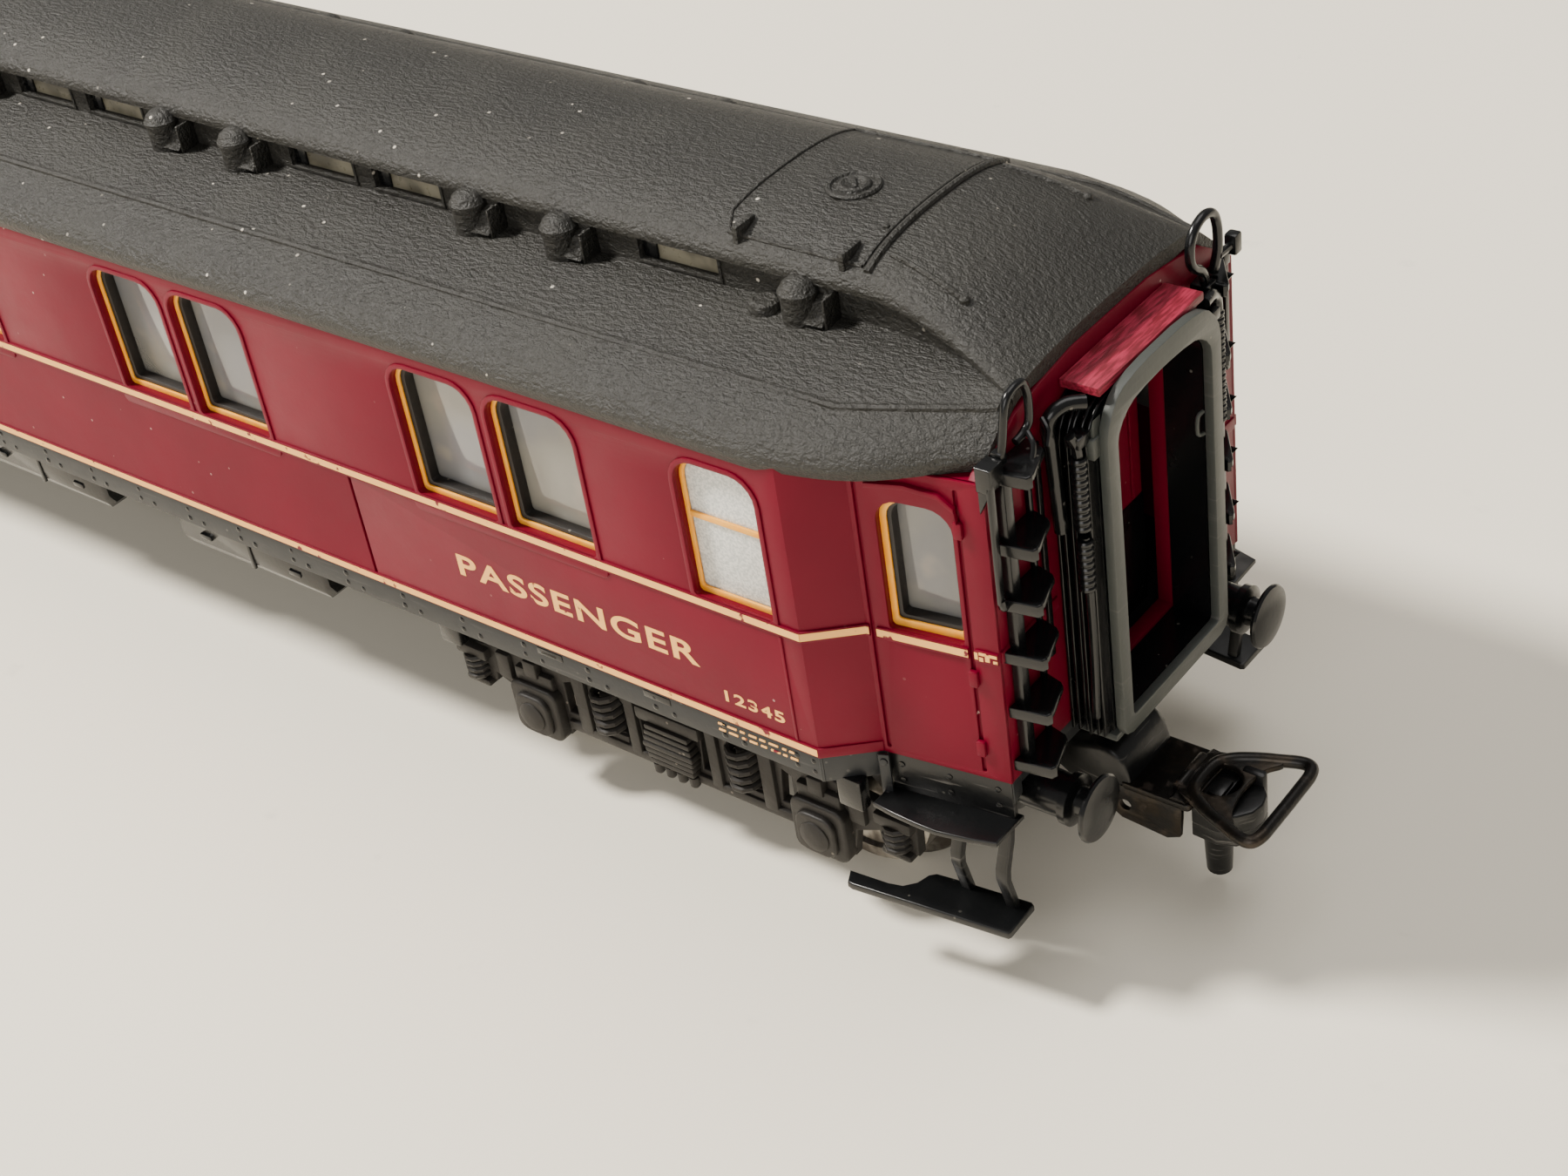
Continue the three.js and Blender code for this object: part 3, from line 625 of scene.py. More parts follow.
def grown(tree, inputs, points=((0, 0, 0),), edges=()):
    """The plain mesh that a tree makes from these points and edges."""
    seed = bpy.data.meshes.new("seed")
    seed.from_pydata([tuple(p) for p in points], list(edges), [])
    holder = bpy.data.objects.new("seed", seed)
    bpy.context.scene.collection.objects.link(holder)
    modifier = holder.modifiers.new("Grow", "NODES")
    modifier.node_group = tree
    for item in tree.interface.items_tree:
        if item.in_out == "INPUT" and item.name in inputs:
            modifier[item.identifier] = inputs[item.name]
    evaluated = holder.evaluated_get(bpy.context.evaluated_depsgraph_get())
    plain = bpy.data.meshes.new_from_object(evaluated)
    bm = bmesh.new()
    bm.from_mesh(plain)
    holder.modifiers.remove(modifier)
    bpy.data.objects.remove(holder)
    bpy.data.meshes.remove(plain)
    bmesh.ops.remove_doubles(bm, verts=bm.verts, dist=1e-5)
    return bm


def copies(tree, bm, inputs, points=((0, 0, 0),)):
    """Runs a tree that repeats the given mesh."""
    mesh = bpy.data.meshes.new("original")
    bm.to_mesh(mesh)
    bm.free()
    original = bpy.data.objects.new("original", mesh)
    bpy.context.scene.collection.objects.link(original)
    result = grown(tree, {"Piece": original, **inputs}, points)
    bpy.data.objects.remove(original)
    return result


def scattered(bm, points, finish, variation=0.0):
    return copies(scatter_tree(), bm, {"Finish": finish, "Size Variation": variation, "Seed": 11}, points)


def wire(points, radius, finish, steps=6, closed=False, sides=12):
    path = smooth_path(points, steps, closed)
    edges = [(i, i + 1) for i in range(len(path) - 1)]
    if closed:
        edges.append((len(path) - 1, 0))
    made = grown(wire_tree(), {"Radius": radius, "Sides": sides, "Finish": finish}, path, edges)
    bmesh.ops.recalc_face_normals(made, faces=made.faces)
    return made


# ---- Pieces --------------------------------------------------------------------------------------

def piece(name, bm, finish, body, replaces=()):
    """Turns a mesh in millimetres into a finished piece that rides on a body."""
    bmesh.ops.scale(bm, vec=(MM, MM, MM), verts=bm.verts)
    for face in bm.faces:
        face.material_index = 0
    mesh = bpy.data.meshes.new(name)
    bm.to_mesh(mesh)
    bm.free()
    mesh.materials.clear()
    mesh.materials.append(finish)
    mesh.shade_smooth()
    mesh.set_sharp_from_angle(angle=SHARP_ANGLE)
    made = bpy.data.objects.new(name, mesh)
    bpy.context.scene.collection.objects.link(made)
    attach(made, body)
    if replaces:
        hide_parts(*replaces)
    return made


def at_corners(kind, draw, finish, replace=True):
    """A fitting at each corner, drawn at the front right."""
    for end, side, end_sign, side_sign in CORNERS:
        name = f"{end}_{side}_{kind}"
        piece(name + "_detail", placed(draw(), end_sign, side_sign), finish, "coach_body",
              [name] if replace else ())


def at_ends(kind, draw, finish, body="coach_body", replaces=""):
    """A piece at each end, drawn at the front and turned half round for the rear."""
    for end, turn in ENDS:
        piece(f"{end}_{kind}", moved(draw(), Matrix.Rotation(turn, 4, "Z")), finish,
              body.format(end=end), [f"{end}_{replaces}"] if replaces else ())


# ---- Body shell ----------------------------------------------------------------------------------

def opening(centre, width, margin=0.0, bottom=RAIL_TOP):
    """A window opening's outline, drawn in by a margin."""
    left, right = centre - width / 2 + margin, centre + width / 2 - margin
    top_round = max(0.3, 1.6 - margin)
    return rounded(left, bottom + margin, right, OPENING_TOP - margin, (0.3, 0.3, top_round, top_round))


def window_bead(centre, width):
    """A thin raised rim round a window's sides and top."""
    rim = 0.34
    outer = rounded(centre - width / 2 - rim, RAIL_TOP - 0.2, centre + width / 2 + rim, OPENING_TOP + rim,
                    (0.05, 0.05, 1.6 + rim, 1.6 + rim))
    return plate([outer, opening(centre, width)], -0.02, 0.1, 0.045)


def side_wall():
    """One long side: a skin with openings and fine joints over a plain core."""
    left, right = -SIDE_CORNER.x, SIDE_CORNER.x
    edge = 0.04
    outline = [(left - edge, BODY_BOTTOM), (right + edge, BODY_BOTTOM),
               (right + edge, BODY_TOP), (left - edge, BODY_TOP)]
    joints = [rounded(x - 0.13, 16.7, x + 0.13, RAIL_BOTTOM + 0.1, 0.1, 2) for x in (64.7, -64.7)]
    openings = [opening(*window) for window in WINDOWS]
    core = [opening(c, w, -0.01) for c, w in WINDOWS]
    parts = [plate([outline, *openings, *joints], -0.32, 0.0, 0.05),
             plate([outline, *core], -1.0, -0.2)]
    parts += [window_bead(*window) for window in WINDOWS]
    proud = sizes().rail_height / MM
    parts.append(bar((left - 0.05, RAIL_BOTTOM, -0.1), (right + 0.05, RAIL_TOP, proud), 0.06))
    parts.append(bar((left - 0.05, 16.0, -0.1), (right + 0.05, 16.72, 0.1), 0.05))
    for x in (100.35, -100.35):
        parts.append(bar((x - 0.1, 16.8, -0.1), (x + 0.1, 24.5, 0.09), 0.05))
    aprons = [(c, 8.2) for c in PAIR_CENTRES] + [(-84.0, 4.6)]
    for centre, half in aprons:
        apron = rounded(centre - half, 24.05, centre + half, RAIL_TOP - 0.2, (0.45, 0.45, 0.05, 0.05))
        parts.append(plate([apron], -0.1, 0.11, 0.04))
    return moved(merged(parts), SIDE_WALL)


def corner_walls():
    """The slanted corner and the door, with its seams, hinges, drip strip and rails."""
    edge = 0.04
    proud = sizes().rail_height / MM
    slant = [(-edge, BODY_BOTTOM), (SLANT_LENGTH + edge, BODY_BOTTOM),
             (SLANT_LENGTH + edge, BODY_TOP), (-edge, BODY_TOP)]
    slant_parts = [plate([slant], -1.0, 0.0, 0.05),
                   bar((-0.05, RAIL_BOTTOM, -0.1), (SLANT_LENGTH + 0.03, RAIL_TOP, proud), 0.06),
                   bar((-0.05, 16.0, -0.1), (SLANT_LENGTH + 0.03, 16.72, 0.1), 0.05)]
    door = [(-edge, BODY_BOTTOM), (DOOR_LENGTH + edge, BODY_BOTTOM),
            (DOOR_LENGTH + edge, BODY_TOP), (-edge, BODY_TOP)]
    seams = [rounded(u - 0.13, 16.35, u + 0.13, 35.9, 0.1, 2) for u in (0.42, 6.55)]
    glass = door_opening()
    door_parts = [
        plate([door, *seams, glass], -0.32, 0.0, 0.05),
        plate([door, door_opening(-0.01)], -1.0, -0.2),
        bar((0.7, RAIL_BOTTOM, -0.1), (6.4, RAIL_TOP, proud), 0.06),
        bar((6.75, RAIL_BOTTOM, -0.1), (DOOR_LENGTH + 0.02, RAIL_TOP, proud), 0.06),
        bar((-0.02, RAIL_BOTTOM, -0.1), (0.25, RAIL_TOP, proud), 0.05),
    ]
    door_parts += [bar((6.3, z - 0.55, -0.1), (6.85, z + 0.55, 0.28), 0.12) for z in (23.3, 18.2, 33.4)]
    drip = [(1.2, 35.25), (3.6, 35.6), (5.6, 35.4), (6.5, 34.7), (6.6, 33.9)]
    strip = [(a, b + 0.16) for a, b in drip] + [(a - 0.02, b - 0.16) for a, b in reversed(drip)]
    door_parts.append(plate([strip], -0.1, 0.3, 0.05))
    return merged([moved(merged(slant_parts), SLANT_WALL), moved(merged(door_parts), DOOR_WALL)])


def door_opening(margin=0.0):
    top = 1.5 - max(margin, 0)
    return rounded(1.5 + margin, RAIL_TOP + margin, 6.15 - margin, 34.3 - margin, (0.3, 0.3, top, top))


def gangway_arch(half, bottom, shoulder, crown, foot=0.0):
    """An arched outline, as of the gangway, from its foot to its crown."""
    rise = crown - shoulder
    lower = [(half - foot, bottom), (half - foot * 0.3, bottom + foot * 0.3)] if foot else []
    half_outline = lower + [
        (half, bottom + foot), (half, shoulder), (half - 0.15, shoulder + 0.25 * rise),
        (half - 0.55, shoulder + 0.52 * rise), (half - 1.15, shoulder + 0.75 * rise),
        (half - 1.8, shoulder + 0.88 * rise), (half - 3.0, shoulder + 0.96 * rise), (half - 4.5, crown)]
    return both_halves(half_outline)


def end_wall():
    """The end wall under the roof's rim, with its doorway and the door that closes it."""
    top = [(END_CORNER.y * -1, BODY_BOTTOM), (13.1, 36.3), *END_WALL_TOP]
    doorway = gangway_arch(5.0, 16.5, 35.1, 37.1)
    wall = plate([both_halves(top), doorway], -1.0, 0.0, 0.04)
    rails = [bar((s * 7.2 if s > 0 else -12.9, RAIL_BOTTOM, -0.1), (12.9 if s > 0 else -7.2, RAIL_TOP, 0.12),
                 0.05) for s in (1, -1)]
    return moved(merged([wall, *rails]), END_WALL)


def end_door():
    """The red end door set back in the doorway, with its beads."""
    leaf = [(-5.2, 24.0), (5.2, 24.0), (5.2, 37.0), (-5.2, 37.0)]
    window = rounded(-2.4, 27.0, 2.4, 34.6, 0.5)
    rim = rounded(-2.8, 26.6, 2.8, 35.0, 0.7)
    parts = [plate([leaf, window], -2.3, -1.9, 0.04), plate([rim, window], -1.95, -1.7, 0.06)]
    parts += [bar((a - 0.12, 24.3, -1.95), (a + 0.12, 36.4, -1.75), 0.05) for a in (-4.1, 4.1)]
    return moved(merged(parts), END_WALL)


def end_door_panel():
    """The grey lower panel of the end door, with its slot and lock lumps."""
    leaf = [(-5.2, 16.3), (5.2, 16.3), (5.2, 24.1), (-5.2, 24.1)]
    slot = rounded(0.9, 18.2, 1.6, 21.0, 0.2, 2)
    parts = [plate([leaf, slot], -2.3, -1.8, 0.05),
             bar((-3.6, 17.6, -1.9), (-2.6, 19.8, -1.2), 0.15),
             bar((-3.4, 20.6, -1.9), (-3.0, 22.9, -1.0), 0.1)]
    return moved(merged(parts), END_WALL)


def cream_lines():
    """The printed lines of one side and its corners: on the waist rail and along the lower edge."""
    proud = sizes().rail_height / MM
    x = SIDE_CORNER.x
    half = sizes().line_width / MM / 2
    side = [bar((-x, 25.04 - half, proud - 0.05), (x + 0.05, 25.04 + half, proud + 0.02), 0.0),
            bar((-x, 16.36 - half, 0.0), (x - 0.05, 16.36 + half, 0.12), 0.0)]
    parts = [moved(merged(side), SIDE_WALL)]
    for end_sign in (1, -1):
        slant = bar((-0.03, 25.04 - half, proud - 0.05), (SLANT_LENGTH + 0.03, 25.04 + half, proud + 0.02), 0)
        door = [bar((0.72, 25.04 - half, proud - 0.05), (6.38, 25.04 + half, proud + 0.02), 0),
                bar((-0.02, 25.04 - half, proud - 0.05), (0.23, 25.04 + half, proud + 0.02), 0)]
        chips = [(6.78, 6.98, -0.9, 1), (7.05, 7.3, -1.2, -0.1), (7.05, 7.5, 0.45, 1.2), (7.42, 7.7, -1, 0.9),
                 (7.66, 8.14, 0.35, 1.1), (7.9, 8.16, -1.1, -0.35)]
        door += [bar((a, 25.04 + low * half, proud - 0.05), (b, 25.04 + high * half, proud + 0.02), 0)
                 for a, b, low, high in chips]
        parts.append(placed(merged([moved(slant, SLANT_WALL), moved(merged(door), DOOR_WALL)]), end_sign, 1))
    return merged(parts)


def side_print():
    """Generic lettering and the small marks on the solebar."""
    word = moved(lettering("PASSENGER", 20.0, 1.7), at(73.5, 19.6, 0.005))
    number = moved(lettering("12345", 4.5, 0.85), at(95.1, 17.65, 0.005))
    marks = []
    for row, z in enumerate((15.42, 14.95)):
        start = 94.0
        for i, length in enumerate((0.5, 0.7, 0.35, 0.6, 0.45, 0.7, 0.3, 0.55)):
            marks.append(bar((start, z - 0.06, -0.1), (start + length, z + 0.06, -0.03), 0))
            start += length + 0.22 + 0.05 * ((i + row) % 3)
    marks.append(bar((79.4, 15.3, -0.1), (80.7, 15.5, -0.03), 0))
    return moved(merged([word, number, *marks]), SIDE_WALL)


def build_body():
    for side, sign in (("right", 1), ("left", -1)):
        piece(f"{side}_side_wall", placed(side_wall(), 1, sign), wine_paint(), "coach_body",
              ["body_shell"])
        piece(f"{side}_cream_lines", placed(cream_lines(), 1, sign), cream_print(), "coach_body")
        turn = Matrix.Identity(4) if sign > 0 else Matrix.Rotation(math.pi, 4, "Z")
        piece(f"{side}_lettering", moved(side_print(), turn), cream_print(), "coach_body")
    at_corners("corner_walls", corner_walls, wine_paint(), replace=False)
    at_ends("end_wall", end_wall, wine_paint())
    at_ends("end_door", end_door, wine_paint())
    at_ends("end_door_panel", end_door_panel, gloss_black())


# ---- Windows -------------------------------------------------------------------------------------

def window_frames():
    """Yellow frames on one side, set back in their openings; wide at the left and foot, thin above."""
    parts = []
    for centre, width in WINDOWS:
        left, right = centre - width / 2, centre + width / 2
        inner = rounded(left + 0.3, RAIL_TOP + 0.4, right - 0.24, OPENING_TOP - 0.2, (0.2, 0.2, 1.35, 1.35))
        parts.append(plate([opening(centre, width, -0.05), inner], -0.66, -0.5, 0.05))
        if abs(centre) == SMALL_WINDOW:
            parts.append(bar((left + 0.3, 30.72, -0.68), (right - 0.2, 31.1, -0.48), 0.06))
    return moved(merged(parts), SIDE_WALL)


def door_window_frame():
    inner = rounded(1.9, RAIL_TOP + 0.5, 5.9, 34.0, (0.2, 0.2, 1.2, 1.2))
    return moved(plate([door_opening(-0.05), inner], -0.66, -0.5, 0.05), DOOR_WALL)


def pane_edges():
    """The thick dark edge of the glazing behind each frame."""
    parts = []
    for centre, width in WINDOWS:
        if abs(centre) == SMALL_WINDOW:
            continue
        left, right = centre - width / 2, centre + width / 2
        inner = rounded(left + 0.62, RAIL_TOP + 0.68, right - 0.45, OPENING_TOP - 0.3, (0.2, 0.2, 1.2, 1.2))
        parts.append(plate([opening(centre, width, -0.3, RAIL_TOP - 0.2), inner], -1.4, -0.67, 0.05))
    return moved(merged(parts), SIDE_WALL)


def door_pane_edge():
    inner = rounded(2.15, RAIL_TOP + 0.75, 5.75, 33.9, (0.2, 0.2, 1.1, 1.1))
    return moved(plate([door_opening(-0.3), inner], -1.4, -0.67, 0.05), DOOR_WALL)


def side_panes():
    """Clear panes of one side, one slab behind each pair's openings."""
    slabs = [(c - 8.2, c + 8.2) for c in PAIR_CENTRES] + [(-88.2, -79.8)]
    return moved(merged([bar((a, RAIL_TOP - 0.6, -1.7), (b, OPENING_TOP + 0.5, -1.41), 0.05)
                         for a, b in slabs]), SIDE_WALL)


def frosted_panes():
    return moved(merged([bar((s * SMALL_WINDOW - 3.2, RAIL_TOP - 0.5, -1.2),
                             (s * SMALL_WINDOW + 3.2, 35.3, -0.7),
                             0.05) for s in (1, -1)]), SIDE_WALL)


def door_pane():
    return moved(bar((1.0, RAIL_TOP - 0.5, -1.7), (6.9, 35.0, -1.41), 0.05), DOOR_WALL)


def build_windows():
    for side, sign in (("right", 1), ("left", -1)):
        piece(f"{side}_window_frames", placed(window_frames(), 1, sign), yellow_paint(), "coach_body")
        piece(f"{side}_pane_edges", placed(pane_edges(), 1, sign), pane_edge(), "coach_body")
        piece(f"{side}_panes", placed(side_panes(), 1, sign), window_pane(), "coach_body",
              [f"{side}_glazing"])
        piece(f"{side}_frosted_panes", placed(frosted_panes(), 1, sign), frosted_pane(), "coach_body")
    at_corners("door_window_frame", door_window_frame, yellow_paint(), replace=False)
    at_corners("door_pane_edge", door_pane_edge, pane_edge(), replace=False)
    at_corners("door_pane", door_pane, window_pane(), replace=False)


# ---- Roof ----------------------------------------------------------------------------------------

EAVE_PLAN = [(99.5, 17.0), (100.4, 16.98), (102.25, 16.65), (104.85, 16.1), (107.25, 15.2), (110.0, 13.6),
             (112.65, 12.1)]
LOWER_MAIN = [(17.0, 36.6), (17.0, 36.85), (16.85, 37.2), (16.5, 37.6), (16.0, 37.98), (15.4, 38.32),
              (14.7, 38.65), (14.0, 38.95), (13.3, 39.2), (11.7, 39.52), (10.0, 39.8), (8.5, 39.98),
              (7.0, 40.1), (3.5, 40.2), (0.0, 40.25)]
LOWER_END = [(12.1, 37.3), (12.08, 37.5), (11.95, 37.75), (11.7, 38.0), (11.4, 38.25), (11.1, 38.52),
             (10.75, 38.85), (10.3, 39.25), (9.7, 39.7), (8.6, 40.1), (7.4, 40.35), (6.2, 40.48),
             (5.0, 40.56), (2.5, 40.62), (0.0, 40.64)]
ROOF_TIP = 112.65
SLOPE_START = 102.3
RIM = 0.6
EAVE_STATIONS = [0.0, 50.0, 99.5, 100.4, 101.3, 102.3, 103.3, 104.3, 105.3, 106.3, 107.3, 108.2, 109.1,
                 110.0, 110.8, 111.5, 112.1, ROOF_TIP]


def both_ends(stations):
    return [-x for x in reversed(stations) if x > 0] + list(stations)


def lower_half(x):
    """Half the lower roof's outline at a distance from the middle, from eave to centre."""
    narrowing = (17.0 - value_at(EAVE_PLAN, abs(x))) / (17.0 - 12.1) if abs(x) > 99.5 else 0.0
    return [(a[0] + (b[0] - a[0]) * narrowing, a[1] + (b[1] - a[1]) * narrowing)
            for a, b in zip(LOWER_MAIN, LOWER_END)]


def lower_roof():
    """The curved side of the roof: a shell that narrows and droops round each end."""
    rings = []
    for x in both_ends(EAVE_STATIONS):
        half = lower_half(x)
        inner = [(max(0.0, y - 0.3), z - RIM) for y, z in reversed(half)]
        right = [(x, -y, z) for y, z in half]
        left = [(x, y, z) for y, z in reversed(half[:-1])]
        under = [(x, y, z) for y, z in reversed(inner)] + [(x, -y, z) for y, z in inner[1:]]
        rings.append(right + left + under)
    return loft(rings)


def upper_size(x):
    """Half width, edge height and crown height of the upper roof at a distance from the middle."""
    t = max(0.0, (abs(x) - SLOPE_START) / (ROOF_TIP - SLOPE_START))
    return 7.6 + 1.9 * t ** 1.5, 42.45 - 2.65 * t ** 1.7, 44.4 - 3.65 * t ** 1.6


def upper_roof():
    """The long crowned roof above the clerestory, sloping down to each end."""
    arc = [math.radians(90 * i / 9) for i in range(10)]
    rings = []
    slope = [SLOPE_START + (ROOF_TIP + 0.07 - SLOPE_START) * i / 14 for i in range(15)]
    for x in both_ends([0.0, 60.0, *slope]):
        half, edge, crown = upper_size(x)
        top = [(half * math.cos(a) ** 0.8, edge + (crown - edge) * math.sin(a) ** 1.15) for a in arc]
        top = [(half, edge - 0.32), (half, edge - 0.12)] + top
        ring = [(x, -y, z) for y, z in top] + [(x, y, z) for y, z in reversed(top[:-1])]
        rings.append(ring)
    return loft(rings)


def clerestory_ends():
    """The clerestory's walls under the sloping ends."""
    rings = []
    for i in range(13):
        x = SLOPE_START - 0.4 + (ROOF_TIP - 0.6 - SLOPE_START) * i / 12
        half, edge, _ = upper_size(x)
        y = half - 0.6
        rings.append([(x, -y, 39.0), (x, -y, edge - 0.1), (x, y, edge - 0.1), (x, y, 39.0)])
    return loft(rings)


CLERESTORY_WINDOWS = [c + d for c in PAIR_CENTRES[:-1] for d in (-13.2, -21.1)] + [88.3, -88.3]


def clerestory_outline(x, margin=0.0, top=41.75):
    return [(x - 3.0 + margin, 40.4 + margin), (x + 3.0 - margin, 40.4 + margin),
            (x + 3.0 - margin, top - margin), (x - 3.0 + margin, top - margin)]


def clerestory_wall():
    """One clerestory wall with its window openings and their thin rims."""
    end = SLOPE_START + 0.2
    outline = [(-end, 39.5), (end, 39.5), (end, 42.4), (-end, 42.4)]
    wall = plate([outline, *[clerestory_outline(x) for x in CLERESTORY_WINDOWS]], -0.7, 0.0, 0.04)
    rims = [plate([clerestory_outline(x, -0.22), clerestory_outline(x)], -0.05, 0.09, 0.04)
            for x in CLERESTORY_WINDOWS]
    return moved(merged([wall, *rims]), at(0, -7.0, 0) @ FACING_RIGHT)


def clerestory_glass():
    """Yellowed panes, with the dark end that shows at the left of each."""
    panes = [bar((x - 3.1, 40.3, -0.62), (x + 3.1, 41.9, -0.48), 0.03) for x in CLERESTORY_WINDOWS]
    return moved(merged(panes), at(0, -7.0, 0) @ FACING_RIGHT)


def clerestory_stops():
    stops = [bar((x - 3.0, 40.4, -0.5), (x - 1.9, 41.75, -0.3), 0.1) for x in CLERESTORY_WINDOWS]
    return moved(merged(stops), at(0, -7.0, 0) @ FACING_RIGHT)


def rain_strips():
    """The raised strip on each shoulder; near the end it turns straight inwards."""
    parts = []
    for sign in (1, -1):
        path = [(0.0, 13.35), (60.0, 13.35), (104.0, 13.3), (106.0, 12.65), (108.0, 11.9), (110.2, 11.0),
                (112.3, 10.1)]
        for end_sign in (1, -1):
            rings = []
            for x, y in path:
                z = roof_height(x, y)
                ring = [(x, y - 0.28, z - 0.3), (x, y + 0.28, z - 0.3), (x, y + 0.24, z + 0.06),
                        (x, y + 0.05, z + 0.17), (x, y - 0.22, z + 0.16)]
                rings.append([(end_sign * a, -sign * b, c) for a, b, c in ring])
            parts.append(loft(rings))
    return merged(parts)


def roof_height(x, y):
    """The lower roof's height over a point in plan."""
    half = sorted(lower_half(x))
    for (y0, z0), (y1, z1) in zip(half, half[1:]):
        if y <= y1:
            return z0 + (z1 - z0) * (y - y0) / max(1e-6, y1 - y0)
    return half[-1][1]


def crown_height(x, y):
    """The upper roof's height over a point in plan."""
    half, edge, crown = upper_size(x)
    cosine = min(1.0, (abs(y) / half) ** (1 / 0.8))
    return edge + (crown - edge) * math.sqrt(max(0.0, 1 - cosine ** 2)) ** 1.15


def over_crown(points, radius):
    """A raised line that follows the upper roof through points in plan."""
    path = []
    for (xa, ya), (xb, yb) in zip(points, points[1:]):
        count = max(2, int(math.hypot(xb - xa, yb - ya)))
        path += [(xa + (xb - xa) * i / count, ya + (yb - ya) * i / count) for i in range(count)]
    path.append(points[-1])
    return wire([(x, y, crown_height(x, y) + radius * 0.25) for x, y in path], radius, roof_grain(), 1,
                sides=8)


def roof_fittings():
    """The hatch outline, its clips, the cap with its slot, the seam and the lifting rods."""
    parts = [
        over_crown([(92.2, -6.6), (101.5, -6.6)], 0.13), over_crown([(91.4, -5.2), (91.4, 6.6)], 0.1),
        over_crown([(91.4, 6.6), (101.3, 6.6)], 0.12), over_crown([(91.4, -5.2), (92.2, -6.6)], 0.1),
        over_crown([(102.0, -6.9), (102.0, 6.9)], 0.24), over_crown([(101.5, -6.6), (101.5, 6.6)], 0.12),
        over_crown([(102.7, -5.5), (107.6, -6.15)], 0.17), over_crown([(102.7, 5.5), (107.6, 6.15)], 0.17),
    ]
    for x, y0, y1 in ((93.0, -7.1, -5.3), (100.4, -7.1, -5.3), (92.0, 6.6, 7.7), (98.6, 6.6, 7.7)):
        z = crown_height(x, y0)
        parts.append(bar((x - 0.2, y0, z - 0.4), (x + 0.2, y1, crown_height(x, y1) + 0.28), 0.08))
    for x, y in ((107.8, -6.2), (107.8, 6.2)):
        parts.append(moved(lathe([(0, -0.4), (0.32, -0.4), (0.3, 0.15), (0.15, 0.28), (0, 0.3)], 14),
                           at(x, y, crown_height(x, y))))
    cap = [(0, -0.5), (1.65, -0.5), (1.65, 0.0), (1.55, 0.12), (1.4, 0.1), (1.3, -0.02), (1.05, -0.02),
           (0.95, 0.14), (0.75, 0.2), (0.6, 0.1), (0, 0.06)]
    parts.append(moved(lathe(cap, 32), at(96.8, -0.7, crown_height(96.8, 0.7) + 0.08)))
    parts.append(moved(bar((-0.14, -0.62, 0.0), (0.14, 0.62, 0.24), 0.06),
                       at(96.8, -0.7, crown_height(96.8, 0.7) + 0.08) @ Matrix.Rotation(0.7, 4, "Z")))
    parts.append(moved(bar((100.9, -3.75, -0.1), (101.25, -3.45, 0.12), 0.05),
                       at(0, 0, crown_height(101, 3.6))))
    return merged(parts)


def ventilator():
    """A ventilator on the right: domed pot, hooded scoop beside it and the plate behind."""
    pot = lathe([(0, -0.9), (1.2, -0.9), (1.2, -0.6), (1.1, -0.45), (1.1, 1.25), (1.2, 1.3), (1.2, 1.5),
                 (1.1, 1.58), (0.95, 1.9), (0.6, 2.15), (0, 2.25)], 24)
    scoop = bmesh.new()
    outline = [(0.5, 0.75, 0.25), (0.5, 0.75, 1.35), (2.0, 0.75, 1.35), (2.0, 0.75, 0.1),
               (0.5, -0.95, -0.1), (0.5, -0.25, 0.9), (2.0, 0.25, 1.1), (2.0, -0.75, -0.2)]
    verts = [scoop.verts.new(p) for p in outline]
    for corners in ((0, 1, 2, 3), (4, 5, 6, 7), (0, 1, 5, 4), (3, 2, 6, 7), (1, 2, 6, 5), (0, 3, 7, 4)):
        scoop.faces.new([verts[i] for i in corners])
    bmesh.ops.recalc_face_normals(scoop, faces=scoop.faces)
    bmesh.ops.bevel(scoop, geom=scoop.edges, offset=0.07, segments=2, profile=0.5, affect="EDGES")
    fin = bar((2.0, -0.55, -0.4), (2.16, 0.85, 1.5), 0.05)
    backing = bar((-1.7, 0.55, -0.5), (2.1, 0.95, 1.62), 0.05)
    return merged([pot, scoop, fin, backing])


def ventilators(sign):
    spots = [(c + d, -7.9, 40.4) for c in PAIR_CENTRES for d in (0.75, -6.8)]
    spots += [(97.8, -7.9, 40.35), (-97.8, -7.9, 40.35)]
    stub = lathe([(0, -0.6), (0.95, -0.6), (1.0, 0.1), (0.9, 0.35), (0.65, 0.45), (0.3, 0.38), (0, 0.4)], 20)
    row = scattered(ventilator(), spots, roof_grain(), 0.015)
    return placed(merged([row, moved(stub, at(95.2, -7.9, 40.15))]), 1, sign)


def build_roof():
    paint = roof_grain()
    piece("lower_roof", lower_roof(), paint, "coach_body", ["roof"])
    piece("upper_roof", upper_roof(), paint, "coach_body")
    piece("roof_fittings", roof_fittings(), paint, "coach_body")
    piece("rain_strips", rain_strips(), paint, "coach_body")
    at_ends("clerestory_end", clerestory_ends, paint)
    for side, sign in (("right", 1), ("left", -1)):
        piece(f"{side}_clerestory_wall", placed(clerestory_wall(), 1, sign), paint, "coach_body")
        piece(f"{side}_clerestory_glass", placed(clerestory_glass(), 1, sign), clerestory_pane(),
              "coach_body")
        piece(f"{side}_clerestory_stops", placed(clerestory_stops(), 1, sign), gloss_black(), "coach_body")
        piece(f"{side}_ventilators", ventilators(sign), paint, "coach_body")


@cache
def clerestory_pane():
    s = Surface("clerestory_pane", Coat_Weight=0.3)
    s.feed("Base Color", s.mix(s.step(s.noise(2.5, 3), 0.35, 0.65), rgb("5d594c"), rgb("8b8674")))
    s.feed("Roughness", 0.2 + s.noise(0.5, 3) * 0.2)
    return s.material


LADDER_TREADS = (17.4, 21.3, 25.2, 28.9, 32.6, 37.2)


# ---- Gangways and end fittings -------------------------------------------------------------------

